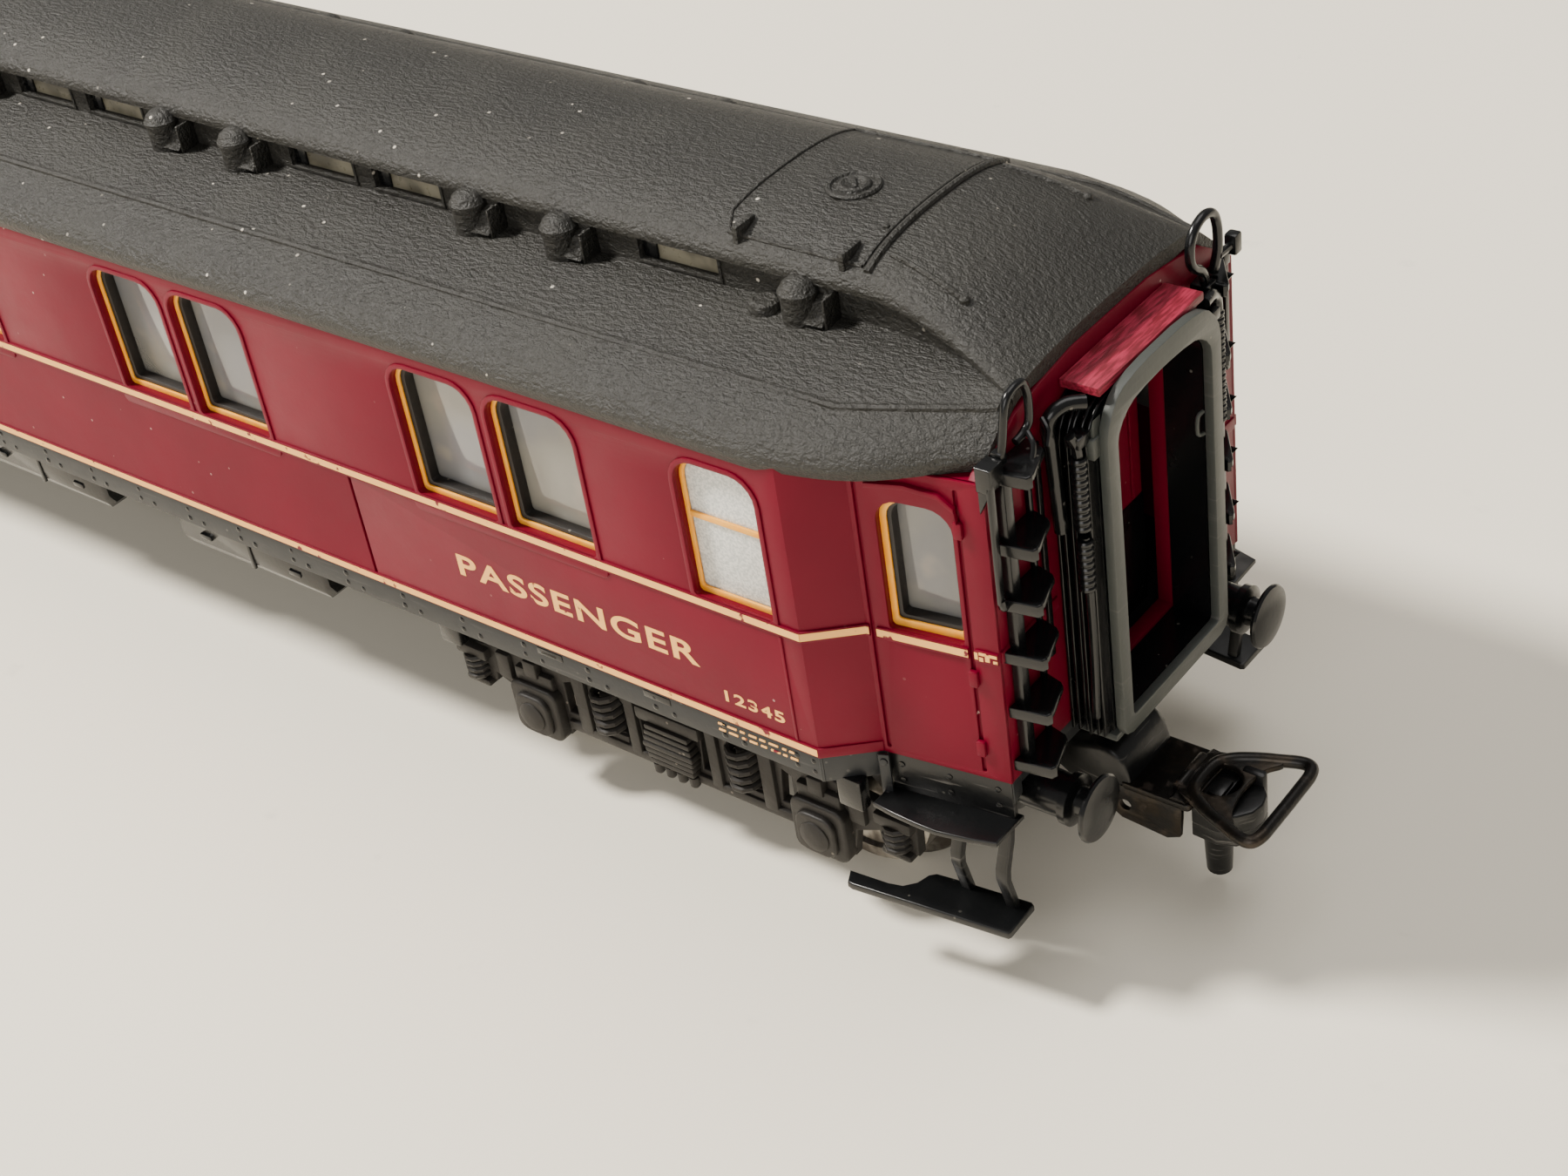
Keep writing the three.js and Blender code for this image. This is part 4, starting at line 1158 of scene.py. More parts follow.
def gangway_frame():
    """The flat arched frame that meets the next coach, with its handles and sill."""
    passage = gangway_arch(5.0, 16.3, 35.3, 37.25, 0.3)
    frame_plate = plate([gangway_arch(6.05, 15.15, 35.9, 38.7, 0.9), passage], 115.5, 116.1, 0.05)
    parts = [moved(frame_plate, FACING_FRONT)]
    parts += [bar((115.0, s * 6.15 - 0.5, 34.9), (115.6, s * 6.15 + 0.5, 36.2), 0.1) for s in (1, -1)]
    parts.append(moved(plate([[(115.0, 35.9), (115.45, 35.9), (115.45, 37.3)]], -0.4, 0.4, 0.05),
                       at(0, -6.0, 0) @ FACING_RIGHT))
    parts += [bar((115.0, -4.95, z), (115.5, -4.6, z + 0.4), 0.08) for z in (24.2, 27.4)]
    parts.append(bar((115.05, -4.75, 24.2), (115.4, -4.45, 27.8), 0.1))
    parts.append(wire([(115.5, 4.85, 31.3), (115.4, 4.4, 31.1), (115.4, 4.35, 30.0), (115.5, 4.85, 29.8)],
                      0.13, gangway_grey(), 3, sides=8))
    parts.append(bar((112.9, -6.2, 14.9), (115.6, 6.2, 15.4), 0.12))
    return merged(parts)


def gangway_pleats():
    """The folded bellows: thin arches of slightly different sizes round a smooth passage lining."""
    count = sizes().pleat_count
    step = 2.45 / count
    parts = []
    for i in range(count):
        swell = 0.12 * math.sin(2.3 * i + 0.6)
        fold = plate([gangway_arch(6.75 + swell, 15.5, 35.6, 38.0 + swell),
                      gangway_arch(5.3, 16.2, 35.2, 37.4)],
                     i * step, i * step + step * 0.55, 0.09, 2)
        parts.append(fold)
    parts.append(plate([gangway_arch(6.25, 15.8, 35.3, 37.7), gangway_arch(4.98, 16.3, 35.2, 37.2)], 0.0,
                       2.55))
    return moved(merged([moved(part, FACING_FRONT) for part in parts]), at(112.9, 0, 0))


def ribbed_sleeve(bottom, top, radius):
    """A standing corrugated sleeve of one radius between two heights."""
    profile = [(0, bottom)]
    ribs = max(2, round((top - bottom) / 0.42))
    for i in range(ribs):
        z = bottom + (top - bottom) * i / ribs
        pitch = (top - bottom) / ribs
        profile += [(radius * 0.84, z), (radius, z + pitch * 0.25), (radius, z + pitch * 0.6),
                    (radius * 0.84, z + pitch * 0.85)]
    return lathe(profile + [(0, top)], 16)


def gangway_rods():
    """The stays behind the frame: a ribbed sleeve and a hook on one side, a long rod on the other."""
    black = gloss_black()
    parts = [
        moved(ribbed_sleeve(30.6, 35.4, 0.5), at(114.9, -7.15, 0)),
        moved(ribbed_sleeve(26.4, 29.9, 0.5), at(114.85, -7.0, 0)),
        wire([(114.9, -7.15, 35.3), (114.9, -7.3, 36.2), (114.8, -7.6, 36.9)], 0.3, black, 4, sides=10),
        wire([(113.6, -7.3, 30.2), (113.6, -7.7, 36.0), (113.65, -7.95, 37.2), (113.8, -7.7, 38.0),
              (114.2, -6.9, 38.3), (114.9, -6.1, 38.2)], 0.42, black, 6, sides=12),
        bar((114.3, -7.55, 36.0), (115.3, -6.3, 36.7), 0.12),
        bar((112.95, -8.5, 22.0), (113.15, -8.05, 36.4), 0.06),
        wire([(114.9, -7.0, 30.0), (114.95, -7.0, 26.6), (114.9, -6.9, 22.0), (114.7, -6.8, 17.0)], 0.26,
             black, 4, sides=10),
    ]
    parts += [
        moved(ribbed_sleeve(28.3, 35.8, 0.42), at(114.5, 8.45, 0)),
        wire([(114.5, 8.45, 35.7), (114.5, 8.4, 36.4), (114.6, 8.0, 37.0), (114.8, 7.2, 37.4),
              (115.0, 6.2, 37.5)],
             0.34, black, 5, sides=12),
        bar((114.3, 6.3, 36.0), (115.3, 7.5, 36.7), 0.12),
    ]
    return merged(parts)


def canopy_board():
    """The flat red board over the gangway."""
    return bar((112.9, -5.5, 38.22), (115.4, 5.5, 38.75), 0.07)


def ladder_step(outline, lip, z):
    """One wedge-shaped tread with its lip and the web under it."""
    web = [(113.3, z - 1.5), (113.5, z - 1.5), (114.4, z - 0.3), (113.3, z - 0.3)]
    return merged([plate([outline], z - 0.45, z, 0.1, 2), plate([lip], z - 0.75, z + 0.05, 0.1, 2),
                   moved(plate([web], -0.12, 0.12, 0.04), at(0, -10.6, 0) @ FACING_RIGHT)])


def wide_ladder():
    """The ladder beside the bent conduit: a post, six broad treads and two prongs on the top one."""
    outline = [(112.9, -12.6), (114.9, -12.3), (115.2, -12.1), (115.2, -11.7), (114.5, -9.6), (114.2, -9.35),
               (112.9, -9.0)]
    lip = [(112.9, -12.7), (115.15, -12.32), (115.3, -12.0), (115.1, -11.8), (112.9, -12.15)]
    parts = [bar((112.9, -12.15, 16.2), (113.6, -11.4, 36.9), 0.12),
             bar((112.9, -9.5, 16.6), (113.2, -9.1, 36.6), 0.08)]
    parts += [ladder_step(outline, lip, z) for z in LADDER_TREADS]
    top = LADDER_TREADS[-1]
    parts += [wire([(114.4, y, top - 0.1), (114.2, y + 0.5, top + 0.5), (113.6, y + 0.9, top + 0.9)], 0.16,
                   gloss_black(), 3, sides=8) for y in (-9.2, -10.6)]
    return merged(parts)


def narrow_ladder():
    """The ladder beside the looped conduit: its treads taper outwards from the gangway."""
    outline = [(112.9, -11.9), (113.2, -11.6), (114.9, -9.2), (115.0, -8.9), (114.8, -8.75), (112.9, -8.9)]
    lip = [(112.9, -9.3), (114.7, -9.1), (114.95, -8.85), (114.8, -8.7), (112.9, -8.8)]
    parts = [bar((112.9, -10.9, 16.2), (113.45, -10.3, 36.9), 0.12),
             bar((112.9, -9.3, 16.6), (113.2, -8.9, 36.6), 0.08)]
    return merged(parts + [ladder_step(outline, lip, z) for z in LADDER_TREADS])


def hanging_grab_rail():
    """A flat bar under the block at the roof's tip, its foot bent back to the wall."""
    block = plate([[(112.8, 36.45), (113.6, 36.45), (113.8, 37.2), (113.8, 38.0), (112.8, 38.0)]], -0.65,
                  0.65, 0.1, 2)
    parts = [moved(block, at(0, -12.95, 0) @ FACING_RIGHT),
             bar((113.45, -13.6, 29.3), (113.7, -13.1, 36.9), 0.07),
             moved(plate([[(112.8, 34.9), (113.6, 36.5), (112.8, 36.5)]], -0.12, 0.12, 0.04),
                   at(0, -13.3, 0) @ FACING_RIGHT)]
    parts.append(wire([(113.58, -13.35, 29.5), (113.6, -13.2, 28.9), (113.4, -12.6, 28.7),
                       (113.1, -12.1, 28.9)], 0.2,
                      gloss_black(), 4, sides=10))
    return merged(parts)


def flat_grab_rail():
    """The flat bar beside the looped conduit, close against the end wall."""
    return merged([bar((112.87, -12.35, 29.3), (113.08, -11.95, 36.6), 0.06),
                   bar((112.87, -12.5, 36.4), (113.15, -11.8, 37.2), 0.08)])


def bent_conduit():
    """Thin conduit bent square over the roof's end, its tail hooked inwards."""
    x = BODY_END + 0.6
    run = wire([(x, -12.0, 37.9), (x, -11.75, 38.8), (x, -11.4, 40.3), (x, -11.0, 40.95), (x, -10.3, 41.15),
                (x, -9.6, 41.0), (x, -9.25, 40.2), (x, -9.2, 39.2), (x, -9.35, 38.4), (x - 0.05, -9.9, 38.0),
                (x - 0.1, -10.5, 37.85)], 0.24, gloss_black(), 5, sides=12)
    return merged([run, bar((x - 0.5, -12.3, 37.4), (x + 0.2, -11.7, 38.2), 0.12)])


def looped_conduit():
    """Conduit looped over the roof's end, down to its block, with a socket to the side."""
    black = gloss_black()
    x = BODY_END + 1.1
    parts = [
        wire([(x - 0.3, -8.5, 36.8), (x - 0.1, -8.3, 37.6), (x, -7.75, 38.5), (x, -6.95, 39.1),
              (x, -6.6, 39.8),
              (x, -6.7, 40.8), (x, -7.3, 41.5), (x, -8.3, 41.75), (x, -9.2, 41.4), (x, -9.6, 40.6),
              (x, -9.7, 39.6), (x - 0.1, -9.75, 38.6), (x - 0.3, -9.6, 37.4)], 0.3, black, 5, sides=12),
        wire([(x, -9.7, 38.5), (x, -10.4, 38.45), (x, -11.2, 38.4)], 0.26, black, 3, sides=10),
        bar((x - 0.4, -11.8, 37.8), (x + 0.4, -11.0, 39.1), 0.15),
        bar((x - 0.9, -9.0, 36.9), (x + 0.3, -7.9, 37.4), 0.15),
    ]
    return merged(parts)


def build_end_pairs():
    """Each end has one bent conduit and one looped one, the same when the coach is turned round."""
    for end, side, end_sign, side_sign in CORNERS:
        bent = end_sign == side_sign
        for kind, draw in (("conduit", bent_conduit if bent else looped_conduit),
                           ("grab_rail", hanging_grab_rail if bent else flat_grab_rail),
                           ("end_ladder", wide_ladder if bent else narrow_ladder)):
            piece(f"{end}_{side}_{kind}_detail", placed(draw(), end_sign, side_sign), gloss_black(),
                  "coach_body", [f"{end}_{side}_{kind}"])


def buffer():
    """Sprung buffer: stepped housing, shank and slightly domed head."""
    rear = 111.2
    profile = [(0, rear), (1.75, rear), (1.75, rear + 0.5), (1.4, rear + 0.7), (1.35, 114.6), (1.6, 114.7),
               (1.62, 115.2), (1.3, 115.35), (0.95, 115.4), (0.92, 116.2), (1.2, 116.33), (1.98, 116.4),
               (2.1, 116.48), (2.12, 116.62), (2.02, 116.76), (1.5, 116.92), (0.8, 117.0), (0, 117.02)]
    turned = moved(lathe(profile, 36), Matrix.Rotation(math.pi / 2, 4, "Y"))
    return moved(turned, at(0, -10.05, 13.3))


def door_step_treads():
    """The door's two treads with raised front lips."""
    upper = [(104.7, -14.1), (104.7, -15.85), (106.2, -16.02), (107.8, -16.1), (109.3, -16.08),
             (111.2, -15.7), (112.95, -15.2), (113.0, -12.4), (109.0, -12.6)]
    lower = [(102.0, -15.75), (102.45, -16.65), (102.8, -16.72), (113.3, -15.5), (113.4, -15.3),
             (113.35, -12.75),
             (113.1, -12.6), (108.1, -13.2), (106.8, -13.4), (106.45, -13.75), (106.2, -14.6),
             (105.6, -15.25), (104.7, -15.5)]
    parts = [plate([upper], 12.72, 13.1, 0.1, 2), plate([lower], 5.75, 6.3, 0.12, 2)]
    return merged(parts)


def door_step_frame():
    """The scratched apron under the door, with its rivets, and the bowed hangers."""
    apron = wall_frame(Vector((104.95, -14.1, 0)), Vector((112.8, -12.98, 0)))
    parts = [moved(plate([[(0, 12.9), (7.9, 12.9), (7.9, 15.8), (0, 15.8)]], -0.5, 0.0, 0.06), apron)]
    for u in (0.8, 3.9, 7.0):
        for z in (13.9, 15.1):
            dome = lathe([(0, -0.1), (0.22, -0.1), (0.2, 0.06), (0, 0.12)], 10)
            parts.append(moved(dome, apron @ at(u, z, 0)))
    for x in (108.7, 111.9):
        side = [(-12.75, 12.9), (-13.4, 12.9), (-13.55, 11.6), (-14.25, 9.8), (-14.3, 9.0), (-13.5, 5.9),
                (-12.95, 5.9), (-13.7, 8.8), (-13.65, 9.5), (-13.0, 11.4)]
        parts.append(moved(plate([side], x, x + 0.75, 0.1, 2), FACING_FRONT))
    return merged(parts)


def corner_strap():
    """The riveted strap at the door corner of the solebar."""
    strap = wall_frame(Vector((104.5, -14.5, 0)), Vector((105.2, -14.25, 0)))
    parts = [moved(bar((0, 12.3, 0), (0.7, 15.9, 0.22), 0.08), strap)]
    for z in (12.9, 15.4):
        parts.append(moved(lathe([(0, 0), (0.26, 0), (0.24, 0.12), (0, 0.2)], 12), strap @ at(0.35, z, 0.2)))
    return merged(parts)


def build_ends():
    at_ends("gangway_face", gangway_frame, gangway_grey(), replaces="gangway_frame")
    at_ends("gangway_pleats", gangway_pleats, gloss_black(), replaces="gangway_bellows")
    at_ends("gangway_rods", gangway_rods, gloss_black())
    at_ends("canopy", canopy_board, board_red(), replaces="canopy_board")
    build_end_pairs()
    at_corners("buffer", buffer, gloss_black())
    at_corners("door_steps", door_step_treads, scuffed_black())
    at_corners("door_step_frame", door_step_frame, scuffed_black(), replace=False)
    at_corners("corner_strap", corner_strap, chassis_grey(), replace=False)


# ---- Underframe and interior ---------------------------------------------------------------------

def underframe():
    """Floor, solebars all round, headstocks and the bogie bosses."""
    side = moved(bar((-101.9, 14.0, -1.3), (101.9, 15.9, -0.1), 0.07), SIDE_WALL)
    slant = moved(bar((-0.1, 14.0, -1.3), (SLANT_LENGTH + 0.1, 15.9, -0.1), 0.07), SLANT_WALL)
    door = moved(bar((-0.1, 14.2, -1.3), (DOOR_LENGTH, 15.9, -0.2), 0.07), DOOR_WALL)
    corner = merged([slant, door])
    parts = [placed(corner.copy(), *signs) for signs in ((1, 1), (1, -1), (-1, 1), (-1, -1))]
    parts.append(placed_both_sides(side))
    corner.free()
    plan = both_halves([(101.2, -15.5), (101.2, 15.5)])
    end_plan = [(101, -15.4), (104.2, -13.2), (112.6, -12.2), (112.6, 12.2), (104.2, 13.2), (101, 15.4)]
    parts.append(plate([plan], 14.95, 15.85))
    parts += [placed(plate([end_plan], 14.95, 15.85), s, 1) for s in (1, -1)]
    for sign in (1, -1):
        headstock = bar((109.6, -12.2, 11.9), (111.15, 12.2, 15.3), 0.12)
        parts.append(placed(headstock, sign, 1))
        boss = lathe([(0, 12.4), (3.1, 12.4), (3.2, 12.6), (3.2, 15.2), (0, 15.2)], 32)
        parts.append(moved(boss, at(sign * BOGIE_CENTRE, 0, 0)))
    return merged(parts)


def solebar_rivets():
    """Pairs of rivets along both solebars."""
    radius = sizes().rivet_radius / MM
    stud = lathe([(0, -0.1), (radius, -0.1), (radius, 0.03), (radius * 0.6, 0.09), (0, 0.11)], 12)
    stud = moved(stud, FACING_RIGHT)
    spots = []
    for i in range(-18, 19):
        x = i * 5.55
        spots += [(x, 14.55), (x + 0.05, 15.35), (x + 1.5, 14.5)]
    points = [(x, -16.53, z) for x, z in spots if abs(x) < 101] + [(101.2, -16.53, z) for z in (14.55, 15.35)]
    return placed_both_sides(scattered(stud, points, gloss_black(), 0.12))


def placed_both_sides(bm):
    other = placed(bm.copy(), 1, -1)
    return merged([bm, other])


def solebar_brackets():
    """Small dark brackets and the pendants beside each bogie."""
    parts = []
    for sign in (1, -1):
        for x in (69.6, 103.0):
            parts.append(placed(bar((x - 0.9, -15.9, 11.9), (x + 0.9, -15.0, 14.2), 0.15), sign, 1))
        for x in (79.0, 88.0):
            parts.append(placed(bar((x, -16.62, 15.15), (x + 2.2, -16.4, 15.7), 0.08), sign, 1))
        parts.append(placed(bar((0.0, -15.2, 12.5), (60.0, -14.7, 12.9), 0.1), sign, 1))
    for x in range(-60, 61, 12):
        parts.append(bar((x - 0.3, -15.2, 12.5), (x + 0.3, -14.7, 14.1), 0.08))
    return placed_both_sides(merged(parts))


def equipment_boxes():
    """The battery and gear boxes on one side, ends slanted, with lids and hinge lugs."""
    parts = [bar((-57.7, -10.7, 13.4), (57.7, -9.5, 13.95), 0.1)]
    for low in (41.7, 17.2, -57.7, -33.2):
        high = low + 16.0
        side = [(-16.05, 13.95), (-16.05, 12.0), (-15.6, 11.2), (-9.5, 11.2), (-9.5, 13.95)]
        rings = [[(x, y, z) for y, z in side] for x in (low, low + 0.4, high - 0.4, high)]
        for index in (0, 3):
            rings[index] = [(x, y * 0.985, z + (0.45 if z < 12.5 else 0)) for x, y, z in rings[index]]
        parts.append(loft(rings))
        parts.append(bar((low + 7.8, -16.15, 11.5), (low + 8.2, -15.9, 13.9), 0.06))
        parts += [bar((low + u, -16.2, 12.5), (low + u + 1.2, -15.9, 12.9), 0.08) for u in (2.6, 12.2)]
    return merged(parts)


def build_underframe():
    piece("underframe_moulding", underframe(), chassis_grey(), "coach_body",
          ["underframe"])
    piece("solebar_rivets", solebar_rivets(), gloss_black(), "coach_body")
    piece("solebar_brackets", solebar_brackets(), gloss_black(), "coach_body")
    for side, sign in (("right", 1), ("left", -1)):
        piece(f"{side}_gear_boxes", placed(equipment_boxes(), 1, sign), gloss_black(), "coach_body",
              [f"{side}_equipment_boxes"])


def build_interior():
    """The compartment fitting and the ballast keep their exact shapes and get their finishes."""
    for name, finish in (("interior_fitting", compartment_tan()), ("ballast_weight", ballast_steel())):
        node_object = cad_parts[name]
        node_object.data.materials.clear()
        node_object.data.materials.append(finish)


# ---- Bogies --------------------------------------------------------------------------------------

def side_frame():
    """A bogie side frame about its centre: pressed frame, axleboxes, springs and their brackets."""
    outer = both_halves([(2.6, 5.9), (9.7, 5.9), (10.0, 4.9), (14.0, 4.9), (14.4, 7.2), (16.2, 8.0),
                         (16.3, 7.2),
                         (19.1, 7.2), (19.2, 9.8), (16.8, 10.3), (14.4, 10.5), (10.5, 11.1), (8.0, 11.3),
                         (3.0, 11.3)])
    holes = []
    for s in (1, -1):
        window = [(4.3 * s, 7.0), (7.2 * s, 7.0), (7.2 * s, 9.9), (6.9 * s, 10.3), (4.6 * s, 10.3),
                  (4.3 * s, 9.9)]
        arch_gap = [(2.1 * s, 7.0), (2.9 * s, 7.0), (2.9 * s, 10.3), (2.3 * s, 10.3)]
        corner_gap = [(8.6 * s, 7.1), (9.6 * s, 7.1), (9.6 * s, 9.6), (8.9 * s, 9.9)]
        holes += [window, arch_gap, corner_gap]
    parts = [plate([outer, *holes], 12.7, 13.5, 0.14, 2)]
    parts.append(bar((-9.6, 5.85, 12.9), (9.6, 6.6, 13.8), 0.16))
    parts.append(bar((-10.6, 10.6, 12.9), (10.6, 11.25, 13.75), 0.14))
    for s in (1, -1):
        u = AXLE_OFFSET * s
        parts.append(plate([rounded(u - 2.1, 4.65, u + 2.1, 8.9, 0.75)], 13.1, 14.35, 0.22, 3))
        parts.append(plate([rounded(u - 1.5, 5.1, u + 1.5, 8.3, 0.9)], 14.2, 14.75, 0.2, 3))
        parts.append(moved(lathe([(0, 0), (1.15, 0), (1.1, 0.25), (0.8, 0.42), (0.35, 0.5), (0, 0.5)], 24),
                           at(u, 6.65, 14.6)))
        parts.append(bar((u - 1.7, 8.6, 13.0), (u + 1.7, 9.9, 13.95), 0.2))
        parts.append(bar((u - 0.6, 9.5, 13.2), (u + 0.6, 10.9, 14.15), 0.18))
        for post, width in ((3.0, 0.9), (7.3, 1.1)):
            low = post if s > 0 else -post - width
            parts.append(bar((low, 6.2, 12.9), (low + width, 10.9, 13.85), 0.15))
        spring_low = 4.25 if s > 0 else -7.25
        parts.append(bar((spring_low, 6.2, 12.6), (spring_low + 3.0, 7.1, 13.6), 0.12))
        bracket_low = 16.3 if s > 0 else -19.1
        parts.append(bar((bracket_low, 9.2, 12.6), (bracket_low + 2.8, 10.1, 14.1), 0.2))
        parts.append(bar((bracket_low + 0.3, 6.85, 12.8), (bracket_low + 2.5, 7.35, 14.0), 0.15))
        parts.append(bar((14.2 if s > 0 else -15.5, 8.2, 12.8), (15.5 if s > 0 else -14.2, 10.4, 13.9), 0.25))
    for i in range(7):
        half = 2.1 - 0.09 * abs(i - 3)
        parts.append(bar((-half, 6.55 + 0.48 * i, 13.3), (half, 6.98 + 0.48 * i, 14.45 - 0.05 * abs(i - 3)),
                         0.12))
    parts += [moved(lathe([(0, -0.5), (0.38, -0.5), (0.36, 0.2), (0.2, 0.4), (0, 0.45)], 14),
                    at(u, 5.95, 13.9) @ Matrix.Rotation(math.pi / 2, 4, "X")) for u in (-1.5, -0.5, 0.5, 1.5)]
    parts.append(bar((-2.7, 9.8, 12.9), (2.7, 10.9, 14.1), 0.25))
    return moved(merged(parts), FACING_RIGHT)


def coil_springs():
    """Coil springs between the posts and at the end brackets, wound from round wire."""
    finish = bogie_dust()
    parts = []
    spots = [(s * 5.75, -13.35, 7.0, 10.4, 0.95, 5, 0.26) for s in (1, -1)]
    spots += [(s * 17.7, -13.45, 7.3, 9.3, 0.8, 4, 0.24) for s in (1, -1)]
    for u, y, low, high, radius, turns, gauge in spots:
        count = turns * 10
        helix = [(u + radius * math.cos(2 * math.pi * i / 10), y + radius * math.sin(2 * math.pi * i / 10),
                  low + (high - low) * i / count) for i in range(count + 1)]
        parts.append(wire(helix, gauge, finish, 1, sides=8))
        parts.append(moved(lathe([(0, low), (0.45, low), (0.45, high), (0, high)], 12), at(u, y, 0)))
    return merged(parts)


def bogie():
    """A whole bogie frame about its centre: two side frames, bolster, tongue and coupler pin."""
    half = merged([side_frame(), coil_springs()])
    rest = [bar((-3, -12.8, 9.5), (3, 12.8, 11.15), 0.2), bar((-4, -4, 9.5), (4, 4, 12.2), 0.3),
            bar((3, -2, 9.5), (COUPLER_PIVOT - BOGIE_CENTRE + 2, 2, 10.7), 0.2),
            moved(lathe([(0, 6.2), (0.75, 6.2), (0.8, 6.3), (0.8, 9.7), (0, 9.7)], 20),
                  at(COUPLER_PIVOT - BOGIE_CENTRE, 0, 0))]
    rest += [bar((s * 16.9 - 0.5, -12.9, 8.6), (s * 16.9 + 0.5, 12.9, 9.5), 0.15) for s in (-1,)]
    return merged([placed_both_sides(half), *rest])


def wheelset():
    """Axle and two flanged wheels about the axle's centre, turned from steel."""
    axle = moved(lathe([(0, -13.1), (0.25, -12.9), (0.75, -11.9), (0.75, -7.1), (1.1, -6.9), (1.1, 6.9),
                        (0.75, 7.1), (0.75, 11.9), (0.25, 12.9), (0, 13.1)], 24),
                        Matrix.Rotation(math.pi / 2, 4, "X"))
    back = 7.15
    rim = [(0, 0), (2.2, 0), (2.2, 0.2), (4.4, 0.25), (4.8, 0.0), (6.4, 0.0), (6.6, 0.1), (6.65, 0.3),
           (6.5, 0.6), (5.95, 0.85), (5.6, 1.1), (5.5, 1.6), (5.42, 2.7), (5.35, 2.8), (4.6, 2.8), (4.4, 2.5),
           (2.4, 2.35), (2.1, 2.8), (1.3, 2.9), (0, 2.9)]
    wheel = moved(lathe([(r, back + t) for r, t in rim], 48), Matrix.Rotation(math.pi / 2, 4, "X"))
    return merged([placed_both_sides(wheel), axle])


def pivot_screw():
    """A cheese-head screw with its slot, up into the boss."""
    head = lathe([(0, 8.2), (0.35, 8.2), (0.35, 8.25), (1.9, 8.25), (2.15, 8.4), (2.2, 8.7), (2.2, 9.2),
                  (1.1, 9.25), (1.1, 15.4), (0, 15.4)], 28)
    return merged([head, bar((-1.9, -0.22, 8.12), (1.9, 0.22, 8.35), 0.05)])


def build_bogies():
    for end, turn in ENDS:
        centre = at(BOGIE_CENTRE * math.cos(turn), 0, 0) @ Matrix.Rotation(turn, 4, "Z")
        piece(f"{end}_bogie_moulding", moved(bogie(), centre), bogie_dust(), f"{end}_bogie",
              [f"{end}_bogie_frame"])
        piece(f"{end}_screw", moved(pivot_screw(), centre), wheel_steel(), "coach_body",
              [f"{end}_pivot_screw"])
        for row, offset in (("outer", AXLE_OFFSET), ("inner", -AXLE_OFFSET)):
            piece(f"{end}_{row}_wheels", moved(wheelset(), centre @ at(offset, 0, AXLE_HEIGHT)),
                  wheel_steel(), f"{end}_{row}_wheelset",
                  [f"{end}_{row}_axle", f"{end}_{row}_left_wheel", f"{end}_{row}_right_wheel"])


# ---- Couplers ------------------------------------------------------------------------------------

def coupler_shaft():
    """The moulded shaft: pivot ring, bar and the rounded hood over the head."""
    half_widths = [(102.2, 1.5), (107.0, 1.5), (108.4, 1.8), (109.8, 2.3), (112.0, 2.6), (113.6, 2.5),
                   (116.0, 2.1)]
    tops = [(102.2, 8.9), (106.0, 8.9), (108.0, 9.0), (109.4, 9.4), (110.8, 10.0), (112.0, 10.3),
            (112.9, 10.1), (113.6, 9.3), (114.0, 7.9), (116.0, 7.8)]
    bottoms = [(102.2, 7.0), (108.0, 6.6), (111.5, 6.3), (112.4, 6.4), (113.0, 7.0), (116.0, 7.3)]
    rings = []
    for i in range(34):
        x = 102.2 + 13.8 * i / 33
        width, top, bottom = (value_at(t, x) for t in (half_widths, tops, bottoms))
        soft = min(0.45, (top - bottom) * 0.4)
        section = rounded(-width, bottom, width, top, (0.2, 0.2, soft, soft), 3)
        rings.append([(x, a, b) for a, b in section])
    ring = moved(lathe([(0, 7.0), (1.8, 7.0), (1.9, 7.1), (1.9, 8.8), (1.8, 8.9), (0, 8.9)], 28),
                 at(COUPLER_PIVOT, 0, 0))
    return merged([loft(rings), ring])


def coupler_head():
    """The pressed metal box behind the hook, with its side holes and rough cross ridge."""
    parts = []
    cheek = [(112.9, 7.7), (112.6, 6.8), (112.7, 5.4), (113.2, 5.05), (116.4, 4.75), (117.3, 5.2),
             (117.5, 7.7)]
    hole = disc_outline(113.5, 6.2, 0.4, 20)
    for low in (-2.6, 2.2):
        parts.append(moved(plate([cheek, hole], low, low + 0.4, 0.06), FACING_RIGHT))
    parts.append(plate([rounded(113.2, -2.6, 118.0, 2.6, (0.3, 0.3, 0.3, 0.3))], 7.5, 8.0, 0.08, 2))
    rings = []
    for i in range(13):
        y = -2.5 + 5.0 * i / 12
        wobble = 0.1 * math.sin(i * 2.3)
        rings.append([(116.4 + wobble, y, 7.9), (116.8 + wobble, y, 8.25 + wobble * 0.5), (117.5, y, 8.2),
                      (117.9 + wobble, y, 7.85)])
    parts.append(loft(rings))
    return merged(parts)


def coupler_hook():
    """The hook block with its slanted nose and slot, and the trip post below."""
    outline = [(117.9, -2.1), (119.6, -2.2), (120.7, -1.75), (121.4, -0.9), (121.6, 0.0), (121.4, 0.9),
               (120.7, 1.75), (119.6, 2.2), (117.9, 2.1)]
    slot = [(119.3, -1.0), (120.1, -1.0), (120.1, 1.6), (119.3, 1.6)]
    parts = [plate([outline, slot], 6.3, 7.75, 0.15, 2), plate([outline], 5.2, 6.5, 0.2, 2),
             bar((119.4, 1.3, 6.4), (120.9, 1.95, 8.6), 0.18),
             bar((118.2, -0.8, 7.3), (119.2, 0.8, 8.0), 0.12),
             moved(lathe([(0, 1.0), (0.6, 1.0), (0.8, 1.2), (0.95, 4.2), (1.15, 5.0), (1.2, 5.5), (0, 5.5)],
                         20),
                   at(118.5, 0, 0))]
    return merged(parts)


